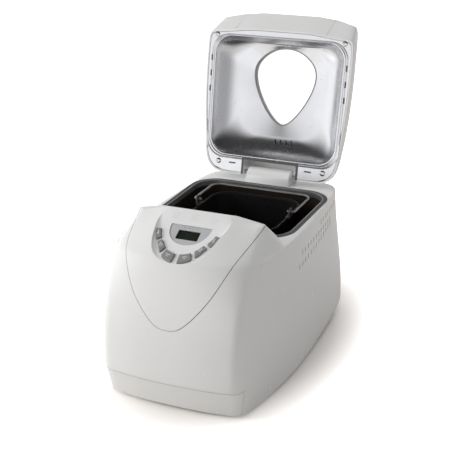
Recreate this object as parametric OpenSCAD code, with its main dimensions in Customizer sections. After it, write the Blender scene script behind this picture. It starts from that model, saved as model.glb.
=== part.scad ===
// Automatic bread maker: deep moulded body with a bowed front apron, a
// raised console nose, a lift-out pan in a steel oven and a domed lid
// with a viewing window. Modelled in the rest state, lid open.
// Units are millimetres, +Z up, front of the machine towards -Y.

/* [Body] */
// overall width of the body at its widest
body_width = 227; // [200:1:260]
// level of the flat deck round the oven
deck_z = 196; // [170:1:230]
// height of the console crest above the deck
crest_h = 40; // [25:1:60]
// wall of the moulded body
body_wall = 2.6; // [1.8:0.1:4]
// furthest forward point of the front
front_y = -187; // [-210:1:-160]
// furthest back point of the rear wall
rear_y = 196; // [170:1:215]
// height of the front fascia of the base tray
fascia_h = 42; // [25:1:60]
// width of the open seams between the body parts
seam = 0.8; // [0.4:0.1:1.5]

/* [Lid] */
// angle the lid stands open at rest
lid_open = 104; // [90:1:112]
// height of the hinge line
hinge_z = 206.4; // [200:0.1:215]
// distance of the hinge line behind the middle
hinge_y = 162; // [150:1:175]
// wall of the lid shell
lid_wall = 2.4; // [1.6:0.1:4]
// depth of the dome pressed into the lid liner
dome_depth = 29; // [16:1:32]

/* [Oven] */
// room between the oven and each side of the body
oven_side = 15.5; // [13.5:0.5:38]
// inner length of the oven
oven_l = 168; // [140:1:175]
// corner radius of the oven
oven_r = 30; // [10:1:45]
// level of the oven floor
oven_floor = 47; // [40:1:60]
// room between the rear of the oven and the hinge line
hinge_room = 24; // [23:0.5:40]

/* [Pan] */
// width of the bread pan at the rim
pan_w = 138; // [110:1:160]
// room between the pan's rim and the oven, in front and behind
pan_room = 21; // [14:0.5:34]
// height of the bread pan
pan_h = 122; // [90:1:130]
// wall of the bread pan
pan_wall = 1.6; // [1:0.1:3]
// diameter of the carrying bail wire
bail_d = 3.2; // [2:0.1:5]

/* [Console] */
// slope of the control field
field_tilt = 28; // [15:1:40]
// visible width of the display
lcd_w = 31; // [25:1:45]
// visible height of the display
lcd_h = 15; // [10:1:22]
// travel of the push buttons
button_travel = 1.2; // [0.6:0.1:2.5]

/* [Drive] */
// diameter of the large pulley
pulley_d = 92; // [60:1:110]
// diameter of the motor pulley
pinion_d = 16; // [12:1:24]
// middle of the motor from front to back
motor_y = -96; // [-120:1:-80]
// diameter of the drive shaft
shaft_d = 8; // [6:0.5:12]

/* [Hidden] */
fn_big = 72;
fn_mid = 40;
fn_small = 24;
// share of the width that the plans below are drawn for
wide = body_width / 227;
oven_w = body_width - 2 * oven_side;
oven_y = hinge_y - hinge_room - oven_l / 2;
pan_l = oven_l - 2 * pan_room;
pan_y = oven_y + 9;
// the console nose starts this far in front of the oven
nose_start = oven_y - oven_l / 2 - 18.4;
chassis_x = body_width / 2 - 33.5;
plate_z = deck_z + 1.2;
crest_z = deck_z + crest_h;
crest_y = -72.4;
foot_h = 4;
// the origin lies under the middle of the open machine, this far behind the
// middle of the base that the plan below is drawn from
rest_mid_y = 29.95;
pan_top = deck_z - 9;
pan_bottom = pan_top - pan_h;
chassis_z = 34;
screw_d = 2.6;
bore_gap = 0.2;
// how far the gasket and the oven rim stand above the deck
rim_rise = 0.7;

// ---------- plan outlines ----------
function mix(a, b, t) = a + (b - a) * t;
function clamp(t) = max(0, min(1, t));
function ease(t) = t * t * (3 - 2 * t);
module place() {
  translate([0, -rest_mid_y, 0]) children();
}
function chaikin(p) = [
  for (i = [0 : len(p) - 1])
    let (a = p[i], b = p[(i + 1) % len(p)])
      each [mix(a, b, 0.25), mix(a, b, 0.75)]
];
function mirror_ring(h) = concat(h, [for (i = [len(h) - 1 : -1 : 0]) [-h[i][0], h[i][1]]]);
function at_z(p, z) = [for (q = p) [q[0], q[1], z]];

// front of the body against height, in the middle and at the soft corner
function rise(z) = clamp((z - fascia_h) / (deck_z - fascia_h));
function front_mid(z) = z < fascia_h
  ? front_y + 13 * pow((fascia_h - z) / fascia_h, 0.8)
  : front_y + 36 * pow(rise(z), 2.2);
function front_bow(z) = 11.5 + 15 * pow(rise(z), 4);
function side_tuck(z) = 3.2 * ease(rise(z)) + 5 * pow(clamp((24 - z) / 24), 2);
function rear_line(z) = rear_y - 10 * ease(rise(z)) - 14 * pow(clamp((26 - z) / 26), 2);

// right half of the outline from the rear middle to the front middle
function half_plan(z, w) = let (
    hw = body_width / 2 + 1,
    t = side_tuck(z),
    r = rear_line(z),
    f = front_mid(z),
    b = front_bow(z)
  ) [
    [34 * wide, r - w], [70 * wide, r - 0.6 - w], [hw - 21 - t * 2 - w * 0.4, r - 4 - w],
    [hw - 8 - t * 1.9 - w, r - 19 - w * 0.3], [hw - 4.5 - t * 1.5 - w, r - 46],
    [hw - 2 - t - w, 96], [hw - t * 0.4 - w, 30], [hw - 0.5 - w, -30],
    [hw - 4 - w, -78], [hw - 9 - w, -118 + 10 * rise(z)],
    [hw - 15 - w, f + b + 9 + w * 0.4], [hw - 21 - w * 0.5, f + b - 3 + w],
    [76 * wide, f + b * 0.42 + w], [48 * wide, f + b * 0.12 + w], [18 * wide, f + w]
  ];

// console nose above the deck, grown from the same outline: the points
// at the back gather on its rear slope, the rest climb to the crest
function nose_back(u) = mix(nose_start, crest_y + 1.2, u);
function nose_half(u) = u < 0.4 ? mix(1, 0.92, u / 0.4)
  : u < 0.82 ? mix(0.92, 0.81, (u - 0.4) / 0.42) : mix(0.81, 0.49, (u - 0.82) / 0.18);
function climb_mid(u) = 0.42 * u + 0.58 * pow(u, 3.2);
function climb_side(u) = pow(clamp(u / 0.82), 1.3);
nose_blend = [1, 1, 1, 1, 0.8, 0.25, 0];
function half_nose(u, w) = let (
    p = half_plan(deck_z, w),
    e = nose_half(u),
    nb = nose_back(u) - w,
    top = crest_y + w * 1.2
  ) concat(
    [for (k = [0 : 7]) [(12 + k * 14) * wide * e - (k == 7 ? w : 0), nb]],
    [for (k = [0 : 6])
      let (q = p[8 + k], b = nose_blend[k], t = mix(climb_mid(u), climb_side(u), b),
        y = k == 0 ? -64 : k == 1 ? -88 : q[1])
        [q[0] * mix(1, e, b), min(nb - 1, mix(y, top, t))]]
  );

body_levels = [foot_h, 11, 24, fascia_h, 84, 124, 158, 182];
nose_levels = [0.2, 0.4, 0.6, 0.76, 0.88];

function ring(half) = chaikin(mirror_ring(half));
function reversed(p) = [for (i = [len(p) - 1 : -1 : 0]) p[i]];

module loft(rings) {
  n = len(rings[0]);
  m = len(rings);
  pts = [for (r = rings) each r];
  sides = [
    for (k = [0 : m - 2], i = [0 : n - 1])
      let (j = (i + 1) % n)
        each [[k * n + i, k * n + j, (k + 1) * n + j], [k * n + i, (k + 1) * n + j, (k + 1) * n + i]]
  ];
  low = [for (i = [n - 1 : -1 : 0]) i];
  top = [for (i = [0 : n - 1]) (m - 1) * n + i];
  polyhedron(points = pts, faces = concat(sides, [low, top]), convexity = 8);
}

module body_outer() {
  loft(concat(
    [for (z = body_levels) at_z(ring(half_plan(z, 0)), z)],
    [at_z(ring(half_plan(deck_z, 0)), deck_z)],
    [for (u = concat([0], nose_levels, [1])) at_z(ring(half_nose(u, 0)), deck_z + u * crest_h)]
  ));
}

module body_inner(w = body_wall) {
  loft(concat(
    [at_z(ring(half_plan(foot_h, w)), -1)],
    [for (z = body_levels) at_z(ring(half_plan(z, w)), z)],
    [at_z(ring(half_plan(deck_z, w)), deck_z - w)],
    [for (u = [0, 0.2, 0.4, 0.6, 0.76]) at_z(ring(half_nose(u, w)), deck_z + u * crest_h - w * 1.2)]
  ));
}

// ---------- shared profiles ----------
module rrect(w, l, r) {
  hull()
    for (x = [-1, 1], y = [-1, 1])
      translate([x * (w / 2 - r), y * (l / 2 - r)]) circle(r = r, $fn = fn_mid);
}

// outline of the front apron seen from the front, right half then left half
function apron_half() = [
  for (p = [
    [95, 240], [91, 229], [88, 221.5], [84.5, 213.5], [79.5, 204], [74, 194],
    [66.5, 179], [59.5, 166], [52, 154.5], [43, 143], [32, 130.5], [21, 120.5], [10, 114.5]
  ]) [p[0] * wide, p[1]]
];
module apron_2d(inset) {
  offset(delta = -inset)
    polygon(concat(apron_half(), [for (i = [12 : -1 : 0]) [-apron_half()[i][0], apron_half()[i][1]]]));
}
module apron_prism(inset) {
  translate([0, -66 - inset, 0]) rotate([90, 0, 0]) linear_extrude(140) apron_2d(inset);
}

// control field: origin on the slope, x to the right, y up the slope
field_y = -109.5;
field_z = 217;
module on_field(x, y, h) {
  translate([0, field_y, field_z]) rotate([field_tilt, 0, 0]) translate([x, y, h]) children();
}
function field_half() = [
  [56.5, 47], [52.5, 27], [48.5, 10], [45, -4.5], [42, -19], [36, -34], [24, -45], [8, -50.5]
];
module field_2d(grow) {
  offset(delta = grow)
    polygon(concat(field_half(), [for (i = [7 : -1 : 0]) [-field_half()[i][0], field_half()[i][1]]]));
}

// six push buttons fill sectors of a band round the display; the band
// widens towards the middle and its centre sits on the display surround
band_y = 12;
button_from = [55, 28.5, 4];
button_to = [77.5, 48.5, 22.5];
button_top = 2.8;
button_gap = 0.45;
panel_t = 2.4;
function band_lift(a) = max(0, cos(2 * a));
function band_in(a) = 39.4 + 6 * band_lift(a);
function band_out(a) = 46 + 12.8 * pow(band_lift(a), 1.2);
function band_point(a, r) = [r * sin(a), band_y - r * cos(a)];
function button_mid(k) = let (a = (button_from[k] + button_to[k]) / 2)
  band_point(a, (band_in(a) + band_out(a)) / 2);

module button_2d(k, grow) {
  span = button_to[k] - button_from[k];
  angles = [for (i = [0 : 4]) button_from[k] + span * i / 4];
  offset(r = 1.6 + grow, $fn = 16) offset(delta = -1.6)
    polygon(concat(
      [for (a = angles) band_point(a, band_in(a))],
      [for (i = [4 : -1 : 0]) band_point(angles[i], band_out(angles[i]))]
    ));
}
module mirrored(s) {
  mirror([s < 0 ? 1 : 0, 0, 0]) children();
}

// ---------- housing ----------
module fascia_zone(gap) {
  translate([-140, -260, -5]) cube([280, 260 - 164 + gap, fascia_h + 5 + gap]);
}

module main_housing() {
  color("white") place() {
    difference() {
      body_outer();
      body_inner();
      apron_prism(0);
      fascia_zone(0);
      translate([0, oven_y, deck_z - 20]) linear_extrude(40)
        rrect(oven_w + 14.6, oven_l + 14.6, oven_r + 6);
      side_vents(1);
      side_vents(-1);
      rear_vents();
      translate([60, rear_y - 30, 24]) rotate([-90, 0, 0]) cylinder(h = 60, d = 12.2, $fn = fn_small);
      for (x = [-1, 1]) translate([x * 24, hinge_y - 4, deck_z - 20])
        cylinder(h = 40, d = 3.4, $fn = fn_small);
    }
    difference() {
      intersection() {
        body_outer();
        for (x = [-1, 1], y = [-100, 20, 130]) case_boss(x, y) translate([x > 0 ? -4 : -14, -4, 10.2])
          cube([18, 8, 26]);
      }
      for (x = [-1, 1], y = [-100, 20, 130]) case_boss(x, y) translate([0, 0, 9])
        cylinder(h = 22, d = screw_d + bore_gap, $fn = fn_small);
    }
  }
}

// screw bosses that tie the case to the base tray
module case_boss(x, y) {
  translate([x * (body_width / 2 - (y < 0 ? 18.5 : 13.5)), y, 0]) children();
}

// fan of louvres high on both flanks: first slot, level, count and climb of a row
vent_rows = [[-12, 150, 13, 0.9], [-1, 167.5, 12, 0], [76, 180.5, 7, 0.3]];
vent_pitch = 11;
module slot(w, h) {
  hull()
    for (z = [-1, 1]) translate([-9, 0, z * (h - w) / 2]) rotate([0, 90, 0])
      cylinder(h = 18, d = w, $fn = 6);
}
module side_vents(s) {
  for (r = vent_rows, i = [0 : r[2] - 1])
    translate([s * (body_width / 2 - 3), r[0] + i * vent_pitch, r[1] + i * r[3]]) rotate([-10, 0, 0])
      slot(2.4, 7.6);
}
module rear_vents() {
  for (i = [0 : 9]) translate([-54 + i * 12, rear_y - 2, 112]) rotate([0, 0, 90]) slot(3.6, 40);
}

module front_panel() {
  color("white") place() {
    difference() {
      intersection() {
        body_outer();
        apron_prism(seam);
      }
      difference() {
        body_inner();
        on_field(0, 0, -panel_t) linear_extrude(40) field_2d(2.2);
        apron_ribs();
      }
      on_field(0, 0, 0) linear_extrude(50) field_2d(0);
      on_field(0, 0, -9) linear_extrude(18) bezel_2d(0.3);
      for (k = [0 : 2], s = [-1, 1]) on_field(0, 0, -6) linear_extrude(12) mirrored(s)
        button_2d(k, button_gap);
      for (s = [-1, 1]) on_field(0, 0, -6) linear_extrude(6 - panel_t + 0.01) mirrored(s)
        button_2d(2, 1.9);
    }
    for (x = [-1, 1]) on_field(x * board_boss[0], board_boss[1], board_z + board_t) difference() {
      hull() {
        cylinder(h = -panel_t - board_z - board_t + 0.2, d = 6, $fn = 16);
        translate([0, 3, 3]) cylinder(h = 2.2, d = 6, $fn = 16);
      }
      translate([0, 0, -1]) cylinder(h = 5.4, d = 2.2, $fn = 16);
    }
  }
}
// upright ribs that stiffen the bowed apron behind its lower half
module apron_ribs() {
  difference() {
    for (x = [-42 : 14 : 42]) let (foot = 122 + 0.55 * abs(x))
      hull() {
        translate([x - 1, -200, foot]) cube([2, 130, 1]);
        translate([x - 0.6, -200, 184]) cube([1.2, 130, 1]);
      }
    body_inner(body_wall + 2.4);
  }
}
board_boss = [36, 24];
board_z = -10.2;
board_t = 1.6;
stem_low = -5.6;

// silver display surround, a D with its flat side up the slope
bezel_r = 28.4;
bezel_flat = 14.8;
module bezel_2d(grow) {
  offset(r = 1.6 + grow, $fn = fn_small) offset(delta = -1.6) difference() {
    translate([0, band_y]) circle(r = bezel_r, $fn = fn_big);
    translate([-bezel_r * 2, bezel_flat]) square([bezel_r * 4, bezel_r * 2]);
  }
}
bezel_top = -0.9;
lens_t = 1.2;
module display_bezel() {
  color("silver") place() on_field(0, 0, 0) difference() {
    union() {
      translate([0, 0, bezel_top - 3]) linear_extrude(3) bezel_2d(0);
      translate([0, 0, -panel_t - 1.4]) linear_extrude(1.4) bezel_2d(1.8);
    }
    translate([0, 0, -9]) linear_extrude(18) square([lcd_w, lcd_h], center = true);
    translate([0, 0, bezel_top - 4]) linear_extrude(4 - lens_t)
      square([lcd_w + 3, lcd_h + 3], center = true);
  }
}
module display_window() {
  color("lightgray", 0.4) place() on_field(0, 0, bezel_top - 2 * lens_t) linear_extrude(lens_t)
    square([lcd_w + 2.6, lcd_h + 2.6], center = true);
}
module lcd_display() {
  color("darkslategray") place() on_field(0, 0, board_z + board_t)
    linear_extrude(bezel_top - 2 * lens_t - board_z - board_t)
      square([lcd_w + 1.6, lcd_h + 1.6], center = true);
}
module push_button(k, s) {
  mid = button_mid(k);
  color("gray") place() on_field(0, 0, 0) mirrored(s) {
    translate([0, 0, -panel_t - 1.6]) linear_extrude(button_top + panel_t + 1.6) button_2d(k, 0);
    translate([0, 0, -panel_t - 1.6]) linear_extrude(1.2) button_2d(k, 1.5);
    translate([mid[0], mid[1], stem_low]) cylinder(h = 3, d = 4, $fn = fn_small);
    translate([mid[0], mid[1], button_top - 0.1]) linear_extrude(0.35) difference() {
      circle(r = 2, $fn = fn_small);
      circle(r = 1.4, $fn = fn_small);
    }
  }
}
module button_1() { push_button(0, -1); }
module button_2() { push_button(1, -1); }
module button_3() { push_button(2, -1); }
module button_4() { push_button(2, 1); }
module button_5() { push_button(1, 1); }
module button_6() { push_button(0, 1); }

module control_board() {
  color("seagreen") place() {
    on_field(0, 0, board_z) linear_extrude(board_t) difference() {
      union() {
        translate([-42, -18]) square([84, 46]);
        translate([-33, -34]) square([66, 18]);
        translate([-18, -44]) square([36, 12]);
      }
      for (x = [-1, 1]) translate([x * board_boss[0], board_boss[1]]) circle(d = 2.4, $fn = fn_small);
    }
    for (k = [0 : 2], s = [-1, 1]) let (mid = button_mid(k))
      on_field(s * mid[0], mid[1], board_z + board_t - 0.2) translate([-3, -3, 0])
        cube([6, 6, stem_low - button_travel - 0.3 - board_z - board_t + 0.2]);
  }
}

// ---------- base ----------
module foot_2d() {
  polygon(ring(half_plan(foot_h, 0)));
}
module base_tray() {
  color("white") place() difference() {
    union() {
      intersection() {
        body_outer();
        translate([0, 0, -1]) linear_extrude(8.4) offset(delta = -body_wall - 0.5) foot_2d();
      }
      intersection() {
        body_outer();
        fascia_zone(-seam);
        translate([0, 0, -1]) linear_extrude(8.4) offset(delta = -1) foot_2d();
      }
      intersection() {
        difference() {
          body_outer();
          body_inner();
        }
        fascia_zone(-seam);
      }
      for (x = [-1, 1], y = [-130, 140]) translate([x * chassis_x, y, 6])
        cylinder(h = chassis_z - 6, d = 12, $fn = fn_small);
      for (i = [-2 : 2]) translate([i * 26 - 1.2, -170, 6]) cube([2.4, 26, 10]);
    }
    for (x = [-1, 1], y = [-130, 140]) translate([x * chassis_x, y, 14])
      cylinder(h = 40, d = 3 + bore_gap, $fn = fn_small);
    for (x = [-1, 1], y = [-100, 20, 130]) case_boss(x, y) translate([0, 0, -2])
      cylinder(h = 30, d = 3.4, $fn = 16);
    for (i = [-3 : 3], j = [0 : 2])
      translate([i * 20, 70 + j * 24, 6]) rotate([0, 90, 0]) slot(3.6, 14);
    for (x = [-1, 1], y = [-1, 1]) foot_at(x, y) translate([0, 0, 3]) cylinder(h = 20, d = 4.2, $fn = 16);
  }
}
module foot_at(x, y) {
  translate([x * (body_width / 2 - (y < 0 ? 37.5 : 29.5)), y < 0 ? -148 : 150, 0]) children();
}
module rubber_feet() {
  color("dimgray") place() for (x = [-1, 1], y = [-1, 1]) foot_at(x, y) {
    cylinder(h = 2, d1 = 12, d2 = 14, $fn = fn_mid);
    translate([0, 0, 2]) cylinder(h = 2, d = 14, $fn = fn_mid);
    translate([0, 0, 3.9]) cylinder(h = 5.6, d = 4, $fn = fn_small);
  }
}
module base_screws() {
  color("silver") place() for (x = [-1, 1], y = [-100, 20, 130]) case_boss(x, y) {
    translate([0, 0, 1.6]) cylinder(h = 2.2, d = 6.4, $fn = fn_small);
    translate([0, 0, 3.7]) cylinder(h = 14, d = screw_d, $fn = fn_small);
  }
}
module cord_gland() {
  color("dimgray") place() translate([60, 0, 24]) rotate([-90, 0, 0]) difference() {
    union() {
      translate([0, 0, rear_y - 8]) cylinder(h = 10, d = 12, $fn = fn_mid);
      translate([0, 0, rear_y + 0.05]) cylinder(h = 4, d = 17, $fn = fn_mid);
      translate([0, 0, rear_y - 11.4]) cylinder(h = 5, d = 15, $fn = fn_mid);
    }
    translate([0, 0, rear_y - 20]) cylinder(h = 40, d = 7, $fn = fn_mid);
  }
}

// ---------- oven ----------
lead_x = 35;
module rim_seal() {
  color("dimgray") place() translate([0, oven_y, deck_z - 1]) linear_extrude(1 + rim_rise) difference() {
    rrect(oven_w + 14, oven_l + 14, oven_r + 5.8);
    rrect(oven_w + 2.6, oven_l + 2.6, oven_r + 1);
  }
  color("dimgray") place() translate([0, oven_y, deck_z - 4]) linear_extrude(3.2) difference() {
    rrect(oven_w + 14, oven_l + 14, oven_r + 5.8);
    rrect(oven_w + 10, oven_l + 10, oven_r + 4);
  }
}
module oven_chamber() {
  color("silver") place() translate([0, oven_y, 0]) {
    difference() {
      translate([0, 0, oven_floor]) linear_extrude(deck_z - oven_floor - 1.2)
        rrect(oven_w + 2, oven_l + 2, oven_r + 1);
      translate([0, 0, oven_floor + 1]) linear_extrude(200) rrect(oven_w, oven_l, oven_r);
      translate([0, pan_y - oven_y, oven_floor - 4]) cylinder(h = 8, d = 34, $fn = fn_mid);
      for (x = [-1, 1]) translate([x * lead_x, -oven_l / 2 + 1, oven_floor + 24]) rotate([90, 0, 0])
        cylinder(h = 8, d = 8.6, $fn = fn_small, center = true);
      translate([-oven_w / 2, -20, oven_floor + 62]) rotate([0, 90, 0])
        cylinder(h = 8, d = 6.4, $fn = fn_small, center = true);
    }
    translate([0, 0, deck_z - 2.3]) linear_extrude(1.2) difference() {
      rrect(oven_w + 9.4, oven_l + 9.4, oven_r + 3.7);
      rrect(oven_w + 1, oven_l + 1, oven_r + 0.5);
    }
    translate([0, 0, deck_z - 1.3]) linear_extrude(1.3 + rim_rise) difference() {
      rrect(oven_w + 2, oven_l + 2, oven_r + 1);
      rrect(oven_w, oven_l, oven_r);
    }
  }
}
module heater_path(w, l, r, z, d) {
  for (x = [-1, 1]) translate([x * w / 2, 0, z]) rotate([90, 0, 0])
    cylinder(h = l - 2 * r, d = d, center = true, $fn = fn_small);
  translate([0, l / 2, z]) rotate([0, 90, 0])
    cylinder(h = w - 2 * r, d = d, center = true, $fn = fn_small);
  for (x = [-1, 1]) translate([x * lead_x, -l / 2, z]) rotate([0, x * 90, 0])
    cylinder(h = w / 2 - r - lead_x, d = d, $fn = fn_small);
  for (a = [0 : 3]) let (sx = (a == 0 || a == 3) ? 1 : -1, sy = a < 2 ? 1 : -1)
    translate([sx * (w / 2 - r), sy * (l / 2 - r), z]) rotate([0, 0, a * 90])
      rotate_extrude(angle = 90, $fn = fn_mid)
      translate([r, 0]) circle(d = d, $fn = fn_small);
}
module heating_element() {
  color("dimgray") place() translate([0, oven_y, 0]) {
    w = oven_w - 26;
    l = oven_l - 26;
    heater_path(w, l, 26, oven_floor + 24, 6.5);
    for (x = [-1, 1]) translate([x * lead_x, -l / 2, oven_floor + 24]) {
      sphere(d = 6.5, $fn = fn_small);
      rotate([90, 0, 0]) cylinder(h = 24, d = 6.5, $fn = fn_small);
    }
  }
}
module element_clips() {
  color("silver") place() translate([0, oven_y, 0]) for (x = [-1, 1], y = [-30, 40])
    translate([x * (oven_w - 26) / 2, y, oven_floor + 24]) rotate([90, 0, 0]) translate([0, 0, -4])
      linear_extrude(8) difference() {
      union() {
        circle(d = 9, $fn = fn_small);
        translate([x > 0 ? 0 : -12.9, -2]) square([12.9, 4]);
      }
      circle(d = 6.6, $fn = fn_small);
    }
}
module temperature_sensor() {
  color("silver") place() translate([-oven_w / 2, oven_y - 20, oven_floor + 62]) rotate([0, 90, 0]) {
    translate([0, 0, -8]) cylinder(h = 18, d = 6, $fn = fn_small);
    translate([0, 0, 10]) sphere(d = 6, $fn = fn_small);
    translate([0, 0, -3.2]) cylinder(h = 2, d = 12, $fn = 6);
  }
}
module pan_seat() {
  color("silver") place() translate([0, pan_y, oven_floor + 1]) difference() {
    union() {
      cylinder(h = 1.4, d = 96, $fn = fn_big);
      cylinder(h = 9, d = 84, $fn = fn_big);
    }
    translate([0, 0, -1]) cylinder(h = 20, d = 80, $fn = fn_big);
  }
}

// ---------- pan ----------
function pan_ring(w, l, r) = let (n = 6) reversed([
  for (a = [0 : 3], i = [0 : n])
    let (t = a * 90 + i * 90 / n, sx = (a == 0 || a == 3) ? 1 : -1, sy = a < 2 ? 1 : -1)
      [sx * (w / 2 - r) + r * cos(t), sy * (l / 2 - r) + r * sin(t)]
]);
module pan_body(k) {
  translate([0, pan_y, 0]) loft([
    at_z(pan_ring(pan_w - 18 - 2 * k, pan_l - 18 - 2 * k, 20), pan_bottom + k),
    at_z(pan_ring(pan_w - 11 - 2 * k, pan_l - 11 - 2 * k, 24), pan_bottom + 7 + k * 0.5),
    at_z(pan_ring(pan_w - 5 - 2 * k, pan_l - 5 - 2 * k, 26), pan_top - 2),
    at_z(pan_ring(pan_w - 5 - 2 * k, pan_l - 5 - 2 * k, 26), pan_top + (k > 0 ? 3 : 0))
  ]);
}
module bread_pan() {
  color("dimgray") place() difference() {
    union() {
      pan_body(0);
      translate([0, pan_y, pan_top - 1.8]) linear_extrude(1.8) rrect(pan_w, pan_l, 28);
      translate([0, pan_y, pan_bottom - 1.2]) cylinder(h = 4, d = 40, $fn = fn_mid);
    }
    pan_body(pan_wall);
    translate([0, pan_y, pan_bottom - 5]) cylinder(h = 20, d = 11.2, $fn = fn_mid);
  }
}
module pan_base_ring() {
  color("silver") place() translate([0, pan_y, 0]) difference() {
    union() {
      translate([0, 0, oven_floor + 1.3])
        cylinder(h = pan_bottom - oven_floor - 1.3, d = 76, $fn = fn_big);
      for (a = [0, 180]) rotate([0, 0, a]) translate([36, -6, oven_floor + 5]) cube([3.4, 12, 6]);
    }
    translate([0, 0, oven_floor]) cylinder(h = pan_bottom - oven_floor - 2.4, d = 71, $fn = fn_big);
    translate([0, 0, oven_floor]) cylinder(h = 60, d = 42, $fn = fn_mid);
  }
}
module pan_bearing() {
  color("goldenrod") place() translate([0, pan_y, pan_bottom - 5]) difference() {
    union() {
      cylinder(h = 3.7, d = 24, $fn = fn_mid);
      cylinder(h = 8, d = 11, $fn = fn_mid);
    }
    translate([0, 0, -1]) cylinder(h = 20, d = shaft_d + 0.1, $fn = fn_mid);
  }
}
module pan_shaft() {
  color("silver") place() translate([0, pan_y, 0]) {
    translate([0, 0, pan_bottom - 9]) cylinder(h = 21, d = shaft_d, $fn = fn_mid);
    intersection() {
      translate([0, 0, pan_bottom + 11.9]) cylinder(h = 16, d = shaft_d, $fn = fn_mid);
      translate([-shaft_d / 2, -shaft_d / 2, pan_bottom + 11]) cube([shaft_d, shaft_d - 1.6, 20]);
    }
    translate([0, 0, pan_bottom - 10]) cylinder(h = 3, d = 14, $fn = fn_mid);
    for (a = [0, 180]) rotate([0, 0, a]) translate([4, -3, pan_bottom - 10]) cube([12, 6, 3]);
    for (a = [0, 180]) rotate([0, 0, a]) translate([12, -3, pan_bottom - 14]) cube([4, 6, 4.2]);
  }
}
module kneading_paddle() {
  color("dimgray") place() translate([0, pan_y, pan_bottom + 3.4]) difference() {
    union() {
      cylinder(h = 22, d1 = 19, d2 = 15, $fn = fn_mid);
      hull() {
        translate([4, 0, 0]) cylinder(h = 7, d = 8, $fn = fn_small);
        translate([38, 5, 0]) cylinder(h = 3, d = 7, $fn = fn_small);
        translate([32, 3, 16]) cylinder(h = 8, d = 3, $fn = fn_small);
        translate([4, 0, 16]) cylinder(h = 4, d = 5, $fn = fn_small);
      }
    }
    difference() {
      translate([0, 0, -1]) cylinder(h = 25.8, d = shaft_d + 0.2, $fn = fn_mid);
      translate([-10, shaft_d / 2 - 1.45, 8.6]) cube([20, 10, 30]);
    }
  }
}
bail_pivot_z = pan_top + 7.5;
bail_half = pan_w / 2 + 7;
bail_reach = oven_l / 2 - 18;
module pan_ears() {
  color("silver") place() for (x = [-1, 1]) translate([x * (pan_w / 2 + 1.6), pan_y, 0]) difference() {
    union() {
      translate([-0.9, -7, pan_top - 0.2]) cube([1.8, 14, 13]);
      translate([x > 0 ? -5 : -0.9, -7, pan_top]) cube([5.9, 14, 1.4]);
    }
    translate([0, 0, bail_pivot_z]) rotate([0, 90, 0])
      cylinder(h = 10, d = bail_d + 0.2, center = true, $fn = fn_small);
  }
}
module bail_handle() {
  color("silver") place() translate([0, pan_y, bail_pivot_z]) {
    for (x = [-1, 1]) {
      translate([x * (pan_w / 2 - 3.4), 0, 0]) rotate([0, x * 90, 0])
        cylinder(h = bail_half - pan_w / 2 + 3.4, d = bail_d, $fn = fn_small);
      translate([x * bail_half, 0, 0]) rotate([-90, 0, 0])
        cylinder(h = bail_reach - 14, d = bail_d, $fn = fn_small);
      translate([x * bail_half, 0, 0]) sphere(d = bail_d, $fn = fn_small);
      translate([x * (bail_half - 14), bail_reach - 14, 0]) rotate([0, 0, x > 0 ? 0 : 90])
        rotate_extrude(angle = 90, $fn = fn_mid) translate([14, 0]) circle(d = bail_d, $fn = fn_small);
    }
    translate([0, bail_reach, 0]) rotate([0, 90, 0])
      cylinder(h = 2 * bail_half - 28, d = bail_d, center = true, $fn = fn_small);
  }
}

// ---------- drive ----------
module chassis_plate() {
  color("lightgray") place() difference() {
    translate([0, 0, chassis_z]) linear_extrude(1.6) difference() {
      translate([0, 5]) rrect(body_width - 49, 296, 12);
      translate([0, pan_y]) circle(d = 24.6, $fn = fn_mid);
      translate([0, motor_y]) circle(d = 22, $fn = fn_mid);
      for (x = [-1, 1], y = [-130, 140]) translate([x * chassis_x, y]) circle(d = 3.4, $fn = fn_small);
      for (x = [-1, 1], y = [-1, 1])
        translate([x * 30, motor_y + y * 30]) circle(d = 3.4, $fn = fn_small);
      for (x = [-1, 1]) translate([x * 52, 0]) rrect(22, 70, 6);
    }
  }
  color("lightgray") place() for (x = [-1, 1], y = [-1, 1])
    translate([x * 78, oven_y + y * 62, chassis_z + 1.5])
      cylinder(h = oven_floor - chassis_z - 1.5, d = 8, $fn = fn_small);
}
module chassis_screws() {
  color("silver") place() for (x = [-1, 1], y = [-130, 140]) translate([x * chassis_x, y, chassis_z]) {
    translate([0, 0, 1.6]) cylinder(h = 2, d = 6.2, $fn = fn_small);
    translate([0, 0, -12]) cylinder(h = 13.8, d = 3, $fn = fn_small);
  }
}
module bearing_housing() {
  color("silver") place() translate([0, pan_y, 0]) difference() {
    union() {
      translate([0, 0, chassis_z - 3]) cylinder(h = 17, d = 24, $fn = fn_mid);
      translate([0, 0, chassis_z + 1.6]) cylinder(h = 3, d = 44, $fn = fn_mid);
    }
    translate([0, 0, chassis_z - 5]) cylinder(h = 40, d = shaft_d + 0.1, $fn = fn_mid);
  }
}
module drive_shaft() {
  color("silver") place() translate([0, pan_y, 0]) {
    translate([0, 0, 12]) cylinder(h = 40, d = shaft_d, $fn = fn_mid);
    translate([0, 0, 48.6]) cylinder(h = 3, d = 14, $fn = fn_mid);
    for (a = [0, 180]) rotate([0, 0, a + 90]) {
      translate([4, -3, 48.6]) cube([12, 6, 3]);
      translate([12, -3, 48.6]) cube([4, 6, 6.4]);
    }
  }
}
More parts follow.
